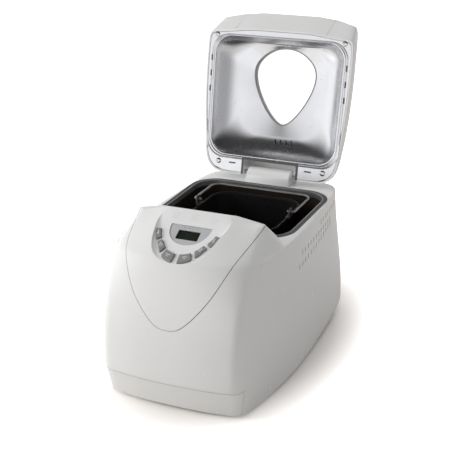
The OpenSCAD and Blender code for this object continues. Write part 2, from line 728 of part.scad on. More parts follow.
module large_pulley() {
  color("ivory") place() translate([0, pan_y, 14]) difference() {
    union() {
      cylinder(h = 12, d = pulley_d - 4, $fn = fn_big);
      cylinder(h = 1.4, d = pulley_d, $fn = fn_big);
      translate([0, 0, 10.6]) cylinder(h = 1.4, d = pulley_d, $fn = fn_big);
    }
    translate([0, 0, -1]) cylinder(h = 30, d = shaft_d, $fn = fn_mid);
    difference() {
      translate([0, 0, 3]) cylinder(h = 20, d = pulley_d - 12, $fn = fn_big);
      cylinder(h = 30, d = 20, $fn = fn_mid);
      for (a = [0 : 5]) rotate([0, 0, a * 60]) translate([0, -1.5, 0]) cube([60, 3, 11]);
    }
  }
}
module motor_pulley() {
  color("silver") place() translate([0, motor_y, 0]) {
    translate([0, 0, 13.4]) cylinder(h = 13.4, d = pinion_d - 0.6, $fn = fn_mid);
    translate([0, 0, 12]) cylinder(h = 1.6, d = pinion_d + 4, $fn = fn_mid);
    translate([0, 0, 26.4]) cylinder(h = 1.6, d = pinion_d + 4, $fn = fn_mid);
    translate([0, 0, 27]) cylinder(h = 14, d = 6, $fn = fn_mid);
  }
}
module drive_belt() {
  color("black") place() translate([0, 0, 15.9]) linear_extrude(8) difference() {
    hull() {
      translate([0, pan_y]) circle(d = pulley_d + 0.4, $fn = fn_big);
      translate([0, motor_y]) circle(d = pinion_d + 4.2, $fn = fn_mid);
    }
    hull() {
      translate([0, pan_y]) circle(d = pulley_d - 3.2, $fn = fn_big);
      translate([0, motor_y]) circle(d = pinion_d + 0.2, $fn = fn_mid);
    }
  }
}
module motor() {
  color("darkgray") place() translate([0, motor_y, chassis_z + 1.6]) difference() {
    union() {
      cylinder(h = 14, d = 62, $fn = fn_big);
      translate([0, 0, 13.9]) linear_extrude(34) rrect(76, 76, 10);
      translate([0, 0, 47.8]) cylinder(h = 14, d = 62, $fn = fn_big);
      for (x = [-1, 1], y = [-1, 1]) translate([x * 30, y * 30, 0])
        cylinder(h = 14.1, d = 9, $fn = fn_small);
      translate([0, 0, 61.6]) cylinder(h = 5, d = 18, $fn = fn_mid);
    }
    translate([0, 0, -1]) cylinder(h = 16, d = 6.1, $fn = fn_mid);
    for (a = [0 : 7]) rotate([0, 0, a * 45]) translate([26, 0, 54]) cube([12, 6, 5], center = true);
    for (x = [-1, 1], y = [-1, 1]) translate([x * 30, y * 30, -1])
      cylinder(h = 12, d = 3.2, $fn = fn_small);
  }
}
module motor_screws() {
  color("silver") place() for (x = [-1, 1], y = [-1, 1])
    translate([x * 30, motor_y + y * 30, chassis_z]) {
    translate([0, 0, -2.4]) cylinder(h = 2.4, d = 6.2, $fn = fn_small);
    translate([0, 0, -0.1]) cylinder(h = 11, d = 3.1, $fn = fn_small);
  }
}
module motor_capacitor() {
  color("whitesmoke") place() {
    translate([58, -94, chassis_z + 1.6]) linear_extrude(30) rrect(22, 40, 3);
    for (y = [-1, 1]) translate([58, -94 + y * 8, chassis_z + 31.5]) linear_extrude(7)
      square([0.8, 5], center = true);
  }
}
module power_board() {
  color("peru") place() translate([-78, -128, chassis_z + 7]) cube([34, 66, 1.6]);
  color("dimgray") place() for (x = [-75, -50], y = [-122, -70]) translate([x, y, chassis_z + 1.6])
    cylinder(h = 5.5, d = 5, $fn = fn_small);
  color("darkslateblue") place() translate([-74, -122, chassis_z + 8.5]) cube([25, 22, 20]);
  color("dimgray") place() translate([-72, -94, chassis_z + 8.5]) cube([18, 14, 16]);
  color("silver") place() translate([-50, -72, chassis_z + 8.5]) cylinder(h = 18, d = 9, $fn = fn_mid);
  color("ivory") place() translate([-74, -74, chassis_z + 8.5]) cube([16, 8, 11]);
}

// ---------- lid, drawn closed and turned open ----------
module lid_pose() {
  translate([0, hinge_y, hinge_z]) rotate([-lid_open, 0, 0])
    translate([0, -hinge_y, -hinge_z]) children();
}
function lid_side(y) = mix(108, 95, pow(clamp((y - 20) / 150), 1.7));
function lid_half(u, w) = let (
    f = mix(nose_back(0) + 1.9, nose_back(1) + 1, u) + w,
    s = mix(3.8, -3, pow(u, 1.5)) - 44 * clamp((u - 0.8) / 0.2) - w,
    r = hinge_y + 4 - w - 30 * pow(clamp((u - 0.3) / 0.7), 2),
    c = mix(0, 20, pow(u, 3)),
    e = mix(6, 3, u)
  ) [for (p = [
    [20, r], [44, r], [66, r - c * 0.6], [lid_side(150) + s - 16, r - 3 - c],
    [lid_side(140) + s, r - 24 - c],
    [lid_side(110) + s, 108], [lid_side(70) + s, 70], [lid_side(30) + s, 30],
    [lid_side(0) + s, nose_start + 44.4],
    [108 + s, f + 26], [107 + s, f + 10], [101 + s * 0.9, f + e], [72 + s * 0.6, f + e * 0.6], [50, f],
    [20, f]
  ]) [p[0] * wide, p[1]]];
function lid_z(u) = plate_z + u * (crest_z - plate_z);
module lid_dome(w) {
  lv = [0, 0.25, 0.5, 0.7, 0.85, 0.94, 1];
  t = w > 0 ? w * 1.1 : 0;
  loft(concat(
    w > 0 ? [at_z(ring(lid_half(0, w)), plate_z - 2)] : [],
    [for (u = lv) at_z(ring(lid_half(u, w)), lid_z(u) - t * u)],
    [at_z(ring([for (p = lid_half(1, w)) [p[0] * 0.8, 24 + (p[1] - 24) * 0.84]]), lid_z(1) + 2.6 - t)],
    [at_z(ring([for (p = lid_half(1, w)) [p[0] * 0.45, 24 + (p[1] - 24) * 0.5]]), lid_z(1) + 4.2 - t)]
  ));
}
// window outline in the closed lid, a rounded triangle that points to the hinge
window_x = 2;
function window_half() = [
  for (p = [[9, 0], [33, 28.5], [49, 64.5], [46, 90.5], [18, 111.5]])
    [p[0], mix(hinge_y - 71.5, nose_start + 27.4, p[1] / 111.5)]
];
module window_2d(grow) {
  translate([window_x, 0]) offset(delta = grow) polygon(chaikin(ring(window_half())));
}
dome_z = plate_z + dome_depth;
liner_t = 1.1;
pane_t = 3;
module notch_zone(grow) {
  translate([0, hinge_y + 6, plate_z - 4]) linear_extrude(60)
    square([82 + 2 * grow, 2 * (23.4 + grow)], center = true);
}
module lid_shell() {
  color("white") place() lid_pose() {
    difference() {
      lid_dome(0);
      difference() {
        lid_dome(lid_wall);
        notch_zone(2.4);
      }
      notch_zone(0);
      translate([0, 0, plate_z - 3]) linear_extrude(80) window_2d(1.4);
      translate([0, hinge_y, hinge_z]) rotate([0, 90, 0])
        cylinder(h = 104, d = 6.4, center = true, $fn = fn_small);
      for (x = [-1, 1]) translate([x * knuckle_x, hinge_y, hinge_z]) rotate([0, 90, 0])
        cylinder(h = 7.4, d = 9.6, center = true, $fn = fn_small);
    }
    intersection() {
      lid_dome(0.6);
      union() {
        for (p = lid_screw_pos, x = [-1, 1]) translate([x * p[0], hinge_y - p[1], plate_z + 3.6])
          difference() {
          hull() {
            cylinder(h = p[2], d = 7, $fn = 16);
            translate([x * 5, 0, 0]) cylinder(h = p[2], d = 3, $fn = 8);
          }
          translate([0, 0, -1]) cylinder(h = 13, d = screw_d + bore_gap, $fn = fn_small);
        }
        for (x = [-1, 1], y = [-20, 60]) hull() {
          translate([x * 104, y, plate_z + 22]) cylinder(h = 40, d = 2, $fn = 8);
          translate([x * 60, y, dome_z + 4]) cylinder(h = 40, d = 2, $fn = 8);
        }
      }
    }
  }
}
lid_screw_pos = [[98.5 * wide, hinge_y - nose_start - 13.9, 26], [82.2 * wide, 11.8, 16]];
module liner_2d(inset) {
  offset(delta = -inset) difference() {
    polygon(ring(lid_half(0, 2.6)));
    translate([0, hinge_y + 6]) square([86.4, 51.2], center = true);
  }
}
// dome pressed into the liner: the front wall is steep, the others lean in
function dome_ring(g, z) = at_z(let (n = 6) reversed([
  for (a = [0 : 3], i = [0 : n])
    let (
      t = a * 90 + i * 90 / n,
      sx = (a == 0 || a == 3) ? 1 : -1,
      sy = a < 2 ? 1 : -1,
      hw = (sy > 0 ? 97.5 : 99.5) * wide - g * 1.1,
      r = 26 + max(0, g) * 0.3
    )
      [
        sx * (hw - r) + r * cos(t),
        (sy > 0 ? hinge_y - 23 - g - r : nose_start + 13.9 + g * 0.33 + r) + r * sin(t)
      ]
]), z);
dome_steps = [[0.4, 0.03], [3, 0.28], [8, 0.56], [17, 0.83], [31, 1]];
module dome_cut(k) {
  loft(concat(
    [dome_ring(-0.6 + k, plate_z - 2)],
    [for (d = dome_steps) dome_ring(d[0] + k, plate_z + d[1] * (dome_depth - k))]
  ));
}
module liner_slot(l, a) {
  rotate(a) hull()
    for (x = [-1, 1]) translate([x * (l / 2 - 1), 0, -16]) cylinder(h = 32, d = 2, $fn = 8);
}
module lid_liner() {
  color("silver") place() lid_pose() difference() {
    union() {
      translate([0, 0, plate_z + 0.6]) linear_extrude(1.2) liner_2d(0.5);
      difference() {
        dome_cut(-liner_t);
        translate([-150, -150, plate_z - 10]) cube([300, 400, 10.8]);
      }
      difference() {
        translate([0, 0, plate_z - 0.2]) linear_extrude(1.2) lip_2d(2.6);
        translate([0, 0, plate_z - 3]) linear_extrude(8) lip_2d(0);
      }
    }
    dome_cut(0);
    translate([0, 0, plate_z - 3]) linear_extrude(80) window_2d(0);
    for (p = lid_screw_pos, x = [-1, 1]) translate([x * p[0], hinge_y - p[1], plate_z - 3])
      cylinder(h = 10, d = 3.6, $fn = fn_small);
    for (v = [162.6, 140.1, 117.7], x = [-1, 1]) translate([x * 104.4 * wide, hinge_y - v, plate_z])
      liner_slot(7.5, 90);
    for (x = [-1, 1]) translate([x * 59.6 * wide, hinge_y - 11.2, plate_z]) liner_slot(8.4, 0);
    for (i = [0 : 3]) translate([-3 + i * 8.4, 115, plate_z + 18]) liner_slot(8, 70);
  }
}
module lip_2d(grow) {
  offset(delta = grow) polygon([for (p = dome_ring(-0.6, 0)) [p[0], p[1]]]);
}
module window_seal() {
  color("black") place() lid_pose() translate([0, 0, dome_z - 1]) difference() {
    union() {
      linear_extrude(1) window_2d(1.4);
      linear_extrude(liner_t + 1.8) window_2d(-0.1);
      translate([0, 0, liner_t + 1]) linear_extrude(0.8) window_2d(1.2);
    }
    translate([0, 0, -1]) linear_extrude(8) window_2d(-1.2);
  }
}
frame_low = dome_z + liner_t + 0.8;
frame_top = crest_z;
module window_frame() {
  color("white") place() lid_pose() translate([0, 0, frame_low]) difference() {
    linear_extrude(frame_top - frame_low) window_2d(1.2);
    translate([0, 0, -1]) linear_extrude(30) window_2d(-1.2);
    translate([0, 0, 1]) linear_extrude(30) window_2d(-0.5);
  }
}
module window_glass() {
  color("lightcyan", 0.4) place() lid_pose() translate([0, 0, frame_low + 1]) linear_extrude(pane_t)
    window_2d(-0.6);
}
module outer_window() {
  color("lightcyan", 0.4) place() lid_pose() translate([0, 0, frame_top]) linear_extrude(2.4)
    window_2d(1.1);
}
module lid_screws() {
  color("silver") place() lid_pose() for (p = lid_screw_pos, x = [-1, 1])
    translate([x * p[0], hinge_y - p[1], plate_z]) difference() {
      union() {
        translate([0, 0, -0.8]) cylinder(h = 1.4, d = 7, $fn = fn_small);
        cylinder(h = 14, d = screw_d, $fn = fn_small);
      }
      translate([0, 0, -1]) linear_extrude(0.8) union() {
        square([4, 0.9], center = true);
        square([0.9, 4], center = true);
      }
    }
}
knuckle_x = 47.2;
module lid_knuckles() {
  color("silver") place() lid_pose() for (x = [-1, 1]) difference() {
    union() {
      translate([x * knuckle_x, hinge_y, hinge_z]) rotate([0, 90, 0])
        cylinder(h = 7, d = 9, center = true, $fn = fn_mid);
      translate([x * knuckle_x - 3.5, hinge_y - 21.4, plate_z + 2]) cube([7, 21.4, 5.2]);
    }
    translate([x * knuckle_x, hinge_y, hinge_z]) rotate([0, 90, 0])
      cylinder(h = 12, d = 5.1, center = true, $fn = fn_mid);
  }
}
module hinge_block() {
  color("white") place() difference() {
    translate([0, 0, deck_z + 0.05]) intersection() {
      translate([-34, hinge_y - 20, -1]) cube([68, 38, 60]);
      rotate([90, 0, 90]) translate([0, 0, -50]) linear_extrude(100) translate([hinge_y, 0])
        polygon([[-16, 0], [-14.5, 9], [-10, 16], [-2, 19.4], [5, 18.8], [11, 14], [16, 4], [17, 0]]);
    }
    translate([0, hinge_y, hinge_z]) rotate([0, 90, 0])
      cylinder(h = 100, d = 5.04, center = true, $fn = fn_mid);
    for (x = [-1, 1]) translate([x * 24, hinge_y - 4, deck_z - 5])
      cylinder(h = 12, d = 2.6, $fn = fn_small);
  }
}
module hinge_pin() {
  color("silver") place() translate([0, hinge_y, hinge_z]) rotate([0, 90, 0])
    cylinder(h = 102, d = 5, center = true, $fn = fn_mid);
}
module block_screws() {
  color("silver") place() for (x = [-1, 1]) translate([x * 24, hinge_y - 4, deck_z - body_wall - 0.15]) {
    translate([0, 0, -2.2]) cylinder(h = 2.2, d = 6, $fn = fn_small);
    translate([0, 0, -0.1]) cylinder(h = 9, d = 2.6, $fn = fn_small);
  }
}

main_housing();
front_panel();
base_tray();
rubber_feet();
base_screws();
cord_gland();
display_bezel();
lcd_display();
display_window();
button_1();
button_2();
button_3();
button_4();
button_5();
button_6();
control_board();
rim_seal();
oven_chamber();
heating_element();
element_clips();
temperature_sensor();
pan_seat();
bread_pan();
pan_base_ring();
pan_bearing();
pan_shaft();
kneading_paddle();
pan_ears();
bail_handle();
chassis_plate();
chassis_screws();
bearing_housing();
drive_shaft();
large_pulley();
motor_pulley();
drive_belt();
motor();
motor_screws();
motor_capacitor();
power_board();
lid_shell();
lid_liner();
window_seal();
window_frame();
window_glass();
outer_window();
lid_screws();
lid_knuckles();
hinge_block();
hinge_pin();
block_screws();
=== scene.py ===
"""Looks of an automatic bread maker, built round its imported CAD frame.

Sizes are millimetres of the machine's own plan: +X to the right, the front towards -Y,
+Z up from the worktop. row_matrix turns them into metres of the row frame.
"""

from __future__ import annotations

import logging
import math
from dataclasses import dataclass, field
from enum import Enum
from typing import Any, Callable, Sequence

import bmesh
import bpy
import numpy as np
from mathutils import Matrix

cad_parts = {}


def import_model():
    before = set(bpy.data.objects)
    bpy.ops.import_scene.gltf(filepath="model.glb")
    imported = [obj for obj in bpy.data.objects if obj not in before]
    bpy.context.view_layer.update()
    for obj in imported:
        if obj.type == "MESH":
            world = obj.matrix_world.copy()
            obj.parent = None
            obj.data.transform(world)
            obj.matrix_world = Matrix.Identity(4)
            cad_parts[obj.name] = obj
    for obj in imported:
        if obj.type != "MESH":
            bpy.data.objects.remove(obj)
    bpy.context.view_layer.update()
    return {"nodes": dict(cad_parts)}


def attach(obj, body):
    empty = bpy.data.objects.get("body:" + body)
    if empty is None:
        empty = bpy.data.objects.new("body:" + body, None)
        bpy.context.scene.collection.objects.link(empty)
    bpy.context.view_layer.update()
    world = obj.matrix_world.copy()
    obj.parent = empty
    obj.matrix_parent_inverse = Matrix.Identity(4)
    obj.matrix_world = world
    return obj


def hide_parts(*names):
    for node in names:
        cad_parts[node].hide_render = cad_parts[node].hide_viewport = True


Array = np.ndarray
Colour = tuple[float, float, float]
Point = tuple[float, float, float]
Profile = Sequence[tuple[float, float]]
Piece = bpy.types.Object
Socket = bpy.types.NodeSocket

log = logging.getLogger("bread_maker")

REST_MID_Y = 29.95
MILLIMETRE = 0.001
SHARP_ANGLE = math.radians(34)
QUARTER = math.pi / 2

DECK_Z = 196.0
HINGE_Y = 162.0
HINGE_Z = 206.4
PAN_Y = 63.0
CLEAR = 0.02


# ---- places ----


@dataclass(frozen=True)
class Place:
    """A drawing plane: a point (u, v, w) lies at origin + u*across + v*along + w*out."""

    origin: Point = (0.0, 0.0, 0.0)
    across: Point = (1.0, 0.0, 0.0)
    along: Point = (0.0, 1.0, 0.0)
    out: Point = (0.0, 0.0, 1.0)

    def points(self, outline: Array, height: float | Array) -> Array:
        """Lifts plane points into space.

        Args:
            outline: (..., 2) coordinates in the plane.
            height: distance along out, one number or one for each point.

        Returns:
            (..., 3) points of the plan.
        """
        rise = np.broadcast_to(height, outline.shape[:-1])[..., None]
        return (
            np.array(self.origin)
            + outline[..., :1] * np.array(self.across)
            + outline[..., 1:2] * np.array(self.along)
            + rise * np.array(self.out)
        )


FLAT = Place()
FACING_FRONT = Place(along=(0.0, 0.0, 1.0), out=(0.0, -1.0, 0.0))
FACING_RIGHT = Place(across=(0.0, 1.0, 0.0), along=(0.0, 0.0, 1.0), out=(1.0, 0.0, 0.0))


def row_matrix() -> Matrix:
    """Matrix from millimetres of the plan to metres of the row frame."""
    return Matrix.Scale(MILLIMETRE, 4) @ Matrix.Translation((0.0, -REST_MID_Y, 0.0))


# ---- curves ----


def mix(a: Array | float, b: Array | float, t: Array | float) -> Array | float:
    """Straight blend, a at t = 0 and b at t = 1."""
    return a + (b - a) * t


def unit(t: Array | float) -> Array | float:
    """Holds a value between 0 and 1."""
    return np.clip(t, 0.0, 1.0)


def ease(t: Array | float) -> Array | float:
    """Smooth step: 3 t^2 - 2 t^3, held between 0 and 1."""
    t = unit(t)
    return t * t * (3.0 - 2.0 * t)


def half_outlines(points: Sequence[tuple[Array | float, Array | float]]) -> Array:
    """Stacks m control points, whose x and y may have a value for each ring, into (r, m, 2)."""
    return np.stack([np.stack(np.broadcast_arrays(*p), -1) for p in points], 1)


def mirror_half(half: Array) -> Array:
    """Closes right halves (..., n, 2) into rings (..., 2n, 2) with their mirror image in x."""
    return np.concatenate([half, half[..., ::-1, :] * np.array([-1.0, 1.0])], axis=-2)


def raised(rings: Array, heights: Array) -> Array:
    """Gives each of the flat rings (r, n, 2) its height out of heights (r,)."""
    z = np.asarray(heights, float)[:, None, None]
    return np.concatenate([rings, np.broadcast_to(z, (*rings.shape[:2], 1))], -1)


def closed_spline(control: Array, counts: Array | int) -> Array:
    """Closed quadratic B-spline, the curve that endless corner cutting of a polygon ends in.

    On the span of control point P1 the curve is
    (1-t)^2/2 P0 + (1/2 + t - t^2) P1 + t^2/2 P2, with P0 and P2 its neighbours.

    Args:
        control: (..., m, d) control polygons.
        counts: samples on each span, one number or m of them.

    Returns:
        (..., sum of counts, d) curve points.
    """
    m = control.shape[-2]
    counts = np.broadcast_to(counts, (m,))
    span = np.repeat(np.arange(m), counts)
    start = np.repeat(np.cumsum(counts) - counts, counts)
    t = ((np.arange(len(span)) - start) / counts[span])[:, None]
    before = control[..., (span - 1) % m, :]
    here = control[..., span, :]
    after = control[..., (span + 1) % m, :]
    return 0.5 * (1 - t) ** 2 * before + (0.5 + t - t * t) * here + 0.5 * t * t * after


def rounded_rectangle(width: float, length: float, radius: float, steps: int = 10,
                      centre: tuple[float, float] = (0, 0)) -> Array:
    """Rectangle with quarter-circle corners.

    Args:
        width: its size in u.
        length: its size in v.
        radius: radius of the corners.
        steps: edges on each corner.
        centre: where its middle lies.

    Returns:
        (4 * (steps + 1), 2) points, counter-clockwise.
    """
    turn = np.linspace(0.0, QUARTER, steps + 1)
    corners = np.array([[1, 1], [-1, 1], [-1, -1], [1, -1]], float)
    centres = corners * np.array([width / 2 - radius, length / 2 - radius])
    angles = turn[None, :] + (np.arange(4) * QUARTER)[:, None]
    arc = radius * np.stack([np.cos(angles), np.sin(angles)], -1)
    return (centres[:, None, :] + arc).reshape(-1, 2) + np.array(centre)


def circle(radius: float, steps: int = 32, centre: Sequence[float] = (0.0, 0.0)) -> Array:
    """Circle of (steps, 2) points, counter-clockwise."""
    a = np.linspace(0.0, 2 * math.pi, steps, endpoint=False)
    return np.stack([np.cos(a), np.sin(a)], -1) * radius + np.array(centre)


def capsule(width: float, length: float, steps: int = 5) -> Array:
    """Slot outline with round ends, standing along v.

    Args:
        width: across the slot.
        length: over both round ends.
        steps: points on each end.

    Returns:
        (2 * steps, 2) points, counter-clockwise.
    """
    a = np.linspace(0.0, math.pi, steps)
    cap = np.stack([np.cos(a), np.sin(a)], -1) * width / 2
    lift = np.array([0.0, (length - width) / 2])
    return np.concatenate([cap + lift, -(cap + lift)])


def band(half: float, near: float, far: float) -> Array:
    """Rectangle between u = -half and u = half, from v = near to v = far."""
    return np.array([[-half, near], [half, near], [half, far], [-half, far]])


def turned(outline: Array, degrees: float) -> Array:
    """Turns an outline about its origin, counter-clockwise."""
    a = math.radians(degrees)
    return outline @ np.array([[math.cos(a), math.sin(a)], [-math.sin(a), math.cos(a)]])


def grown(outline: Array, distance: float) -> Array:
    """Moves each point of a counter-clockwise outline outwards along its own normal.

    Args:
        outline: (n, 2) closed outline.
        distance: how far, below 0 to draw it in.

    Returns:
        (n, 2) moved points.
    """
    tangent = np.roll(outline, -1, 0) - np.roll(outline, 1, 0)
    tangent /= np.linalg.norm(tangent, axis=1, keepdims=True)
    return outline + np.stack([tangent[:, 1], -tangent[:, 0]], -1) * distance


def carried(outline: Callable[[float], Array], profile: Profile, place: Place = FLAT) -> Array:
    """Rings of an outline that a profile widens and lifts.

    Args:
        outline: gives the outline grown by a distance.
        profile: the (grow, height) of each ring.
        place: the plane that the outline is drawn in.

    Returns:
        (r, n, 3) rings.
    """
    return np.stack([place.points(outline(g), z) for g, z in profile])


# ---- meshes ----


def linked(name: str, data: bpy.types.ID) -> Piece:
    """Puts data into the scene.

    Args:
        name: object name.
        data: its mesh, lamp or camera.

    Returns:
        The object.
    """
    obj = bpy.data.objects.new(name, data)
    bpy.context.scene.collection.objects.link(obj)
    return obj


def discard(obj: Piece) -> None:
    """Removes an object and its mesh.

    Args:
        obj: the object.
    """
    used = obj.data
    bpy.data.objects.remove(obj)
    bpy.data.meshes.remove(used)


def mesh_object(name: str, vertices: Array, faces: list) -> Piece:
    """Makes a mesh object whose faces all point outwards.

    Args:
        name: object name.
        vertices: (n, 3) points.
        faces: lists of vertex numbers.

    Returns:
        The object.
    """
    mesh = bpy.data.meshes.new(name)
    mesh.from_pydata(np.asarray(vertices, float).tolist(), [], faces)
    work = bmesh.new()
    work.from_mesh(mesh)
    bmesh.ops.recalc_face_normals(work, faces=work.faces)
    work.to_mesh(mesh)
    work.free()
    return linked(name, mesh)


class Ends(Enum):
    """What happens at the first and the last ring of a loft."""

    CAPPED = "a flat face closes each end"
    JOINED = "the last ring joins the first, as a gasket's does"
    OPEN = "both ends stay open"


def loft(name: str, rings: Array, ends: Ends = Ends.CAPPED) -> Piece:
    """Surface of four-cornered faces between neighbouring rings.

    Args:
        name: object name.
        rings: (r, n, 3) closed rings.
        ends: what happens at the first and last ring.

    Returns:
        The object.
    """
    rows, columns = rings.shape[:2]
    index = np.arange(rows * columns).reshape(rows, columns)
    joined = ends is Ends.JOINED
    low = index if joined else index[:-1]
    high = np.roll(index, -1, 0) if joined else index[1:]
    corners = [low, np.roll(low, -1, 1), np.roll(high, -1, 1), high]
    faces = np.stack(corners, -1).reshape(-1, 4).tolist()
    if ends is Ends.CAPPED:
        faces += [index[0, ::-1].tolist(), index[-1].tolist()]
    return mesh_object(name, rings.reshape(-1, 3), faces)


def prisms(outline: Array, low: float, high: float, place: Place = FLAT,
           centres: Sequence[Point] | Array = ((0, 0, 0),), name: str = "tool") -> Piece:
    """Straight solids of one outline, at one or many centres.

    Args:
        outline: (n, 2) closed outline in the place's plane.
        low: where a solid starts along the place's out axis.
        high: where it ends.
        place: the plane that the outline is drawn in.
        centres: (k, 3) shifts in plan millimetres.
        name: object name, for a piece that stays.

    Returns:
        One object that holds every solid.
    """
    n = len(outline)
    one = np.stack([place.points(outline, low), place.points(outline, high)])
    shifts = np.asarray(centres, float)
    ring = np.arange(n)
    wall = np.stack([ring, (ring + 1) % n, (ring + 1) % n + n, ring + n], -1)
    offsets = np.arange(len(shifts)) * 2 * n
    faces = (wall[None] + offsets[:, None, None]).reshape(-1, 4).tolist()
    faces += (ring[::-1][None] + offsets[:, None]).tolist()
    faces += ((ring + n)[None] + offsets[:, None]).tolist()
    return mesh_object(name, (one[None] + shifts[:, None, None, :]).reshape(-1, 3), faces)


def lathe(name: str, profile: Profile, centre: Point, steps: int) -> Piece:
    """Solid of revolution about an upright axis.

    Args:
        name: object name.
        profile: (radius, height) points.
        centre: where the axis stands and the heights start.
        steps: edges of each circle.

    Returns:
        The object.
    """
    radius, height = np.array(profile, float).T[:, :, None]
    rings = FLAT.points(circle(1.0, steps)[None] * radius[:, None], height)
    return loft(name, rings + np.asarray(centre, float))


def tube(name: str, path: Array, radius: float, steps: int = 14) -> Piece:
    """Round wire along a path.

    The circle is carried by a side vector that stays square to the path: at each point
    it is the last one less its part along the new direction.

    Args:
        name: object name.
        path: (n, 3) points.
        radius: radius of the wire.
        steps: edges of each circle.

    Returns:
        The object.
    """
    ahead = np.gradient(path, axis=0)
    ahead /= np.linalg.norm(ahead, axis=1, keepdims=True)
    side = np.cross(ahead[0], [0.3, 0.2, 1.0])
    sides = []
    for direction in ahead:
        side = side - direction * (side @ direction)
        side = side / np.linalg.norm(side)
        sides.append(side)
    first = np.array(sides)
    second = np.cross(ahead, first)
    turn = circle(1.0, steps)
    ring = turn[None, :, :1] * first[:, None] + turn[None, :, 1:] * second[:, None]
    return loft(name, path[:, None, :] + ring * radius)


def settle_modifiers(obj: Piece) -> None:
    """Makes the evaluated mesh the object's own and drops its modifiers.

    Args:
        obj: the object.
    """
    graph = bpy.context.evaluated_depsgraph_get()
    made = bpy.data.meshes.new_from_object(obj.evaluated_get(graph))
    old = obj.data
    obj.modifiers.clear()
    obj.data = made
    bpy.data.meshes.remove(old)


class Cut(Enum):
    """What a cutter does to the piece."""

    AWAY = "DIFFERENCE"
    KEEP = "INTERSECT"
    ADD = "UNION"


def carve(obj: Piece, tools: Sequence[Piece], cut: Cut = Cut.AWAY) -> None:
    """Cuts a closed piece with closed tools and removes the tools.

    Args:
        obj: the piece.
        tools: the cutters, used one after the other.
        cut: what each of them does.
    """
    for tool in tools:
        modifier = obj.modifiers.new("cut", "BOOLEAN")
        modifier.operation = cut.value
        modifier.solver = "MANIFOLD"
        modifier.object = tool
        settle_modifiers(obj)
        discard(tool)


def join(name: str, parts: Sequence[Piece]) -> Piece:
    """Puts several meshes into one object.

    Args:
        name: name of the new object.
        parts: the objects, which are removed.

    Returns:
        The new object.
    """
    work = bmesh.new()
    for part in parts:
        work.from_mesh(part.data)
        discard(part)
    mesh = bpy.data.meshes.new(name)
    work.to_mesh(mesh)
    work.free()
    return linked(name, mesh)


# ---- finishes ----


class Graph:
    """The node tree of a material or a world, with short ways to add to it."""

    def __init__(self, owner: bpy.types.Material | bpy.types.World) -> None:
        """Turns the owner's nodes on."""
        owner.use_nodes = True
        self.tree = owner.node_tree

    def feed(self, node: bpy.types.Node, inputs: dict[str | int, Any]) -> None:
        """Sets inputs of a node.

        Args:
            node: the node.
            inputs: for each input a socket, which is linked, or a constant.
        """
        for name, value in inputs.items():
            if isinstance(value, Socket):
                self.tree.links.new(value, node.inputs[name])
            else:
                node.inputs[name].default_value = value

    def close(self, name: str, inputs: dict[str | int, Any]) -> None:
        """Sets inputs of the node that the tree starts with, such as the shader."""
        self.feed(self.tree.nodes[name], inputs)

    def add(self, kind: str, output: str, inputs: dict[str | int, Any] | None = None,
            **settings: str) -> Socket:
        """Adds a node.

        Args:
            kind: its type, without the ShaderNode that each type starts with.
            output: the output that is wanted.
            inputs: for each input a socket or a constant.
            settings: options of the node, such as its operation.

        Returns:
            That output.
        """
        node = self.tree.nodes.new("ShaderNode" + kind)
        for name, value in settings.items():
            setattr(node, name, value)
        self.feed(node, inputs or {})
        return node.outputs[output]

    def noise(self, vector: Socket, scale: float, detail: float) -> Socket:
        """Adds noise read at that vector, with scale in cells a metre."""
        return self.add("TexNoise", "Fac", {"Scale": scale, "Detail": detail, "Vector": vector})

    def math(self, operation: str, first: Socket, second: Socket | float) -> Socket:
        """Adds an operation on two values."""
        return self.add("Math", "Value", {0: first, 1: second}, operation=operation)

    def ramp(self, value: Socket, source: tuple[float, float], target: tuple[float, float],
             smooth: bool = False) -> Socket:
        """Adds a ramp from one range of values to another.

        Args:
            value: what is read.
            source: its range.
            target: what comes out at the two ends of that range.
            smooth: whether the ramp starts and ends gently.

        Returns:
            The value that comes out.
        """
        return self.add(
            "MapRange", "Result",
            {"Value": value, "From Min": source[0], "From Max": source[1],
             "To Min": target[0], "To Max": target[1]},
            interpolation_type="SMOOTHSTEP" if smooth else "LINEAR")


@dataclass(frozen=True)
class Look:
    """A named material, whose nodes each kind of finish lays out for itself.

    A look needs a name that no slot has, because the frame's plain materials have those.
    """

    name: str
    colour: Colour
    roughness: float

    def material(self) -> bpy.types.Material:
        """Builds the material, once for each finish.

        Returns:
            The material.
        """
        made = bpy.data.materials.get(self.name)
        if made is None:
            made = bpy.data.materials.new(self.name)
            self.fill(Graph(made))
        return made

    def fill(self, graph: Graph) -> None:
        """Lays out the nodes of the finish."""
        raise NotImplementedError

    def shade(self, amount: float) -> tuple[float, ...]:
        """The colour times an amount, with full alpha."""
        return (*(min(1.0, c * amount) for c in self.colour), 1)


class Pattern(Enum):
    """What a finish shows besides its colour and its fine relief."""

    PLAIN = "plain"
    SPECKLE = "pale specks"


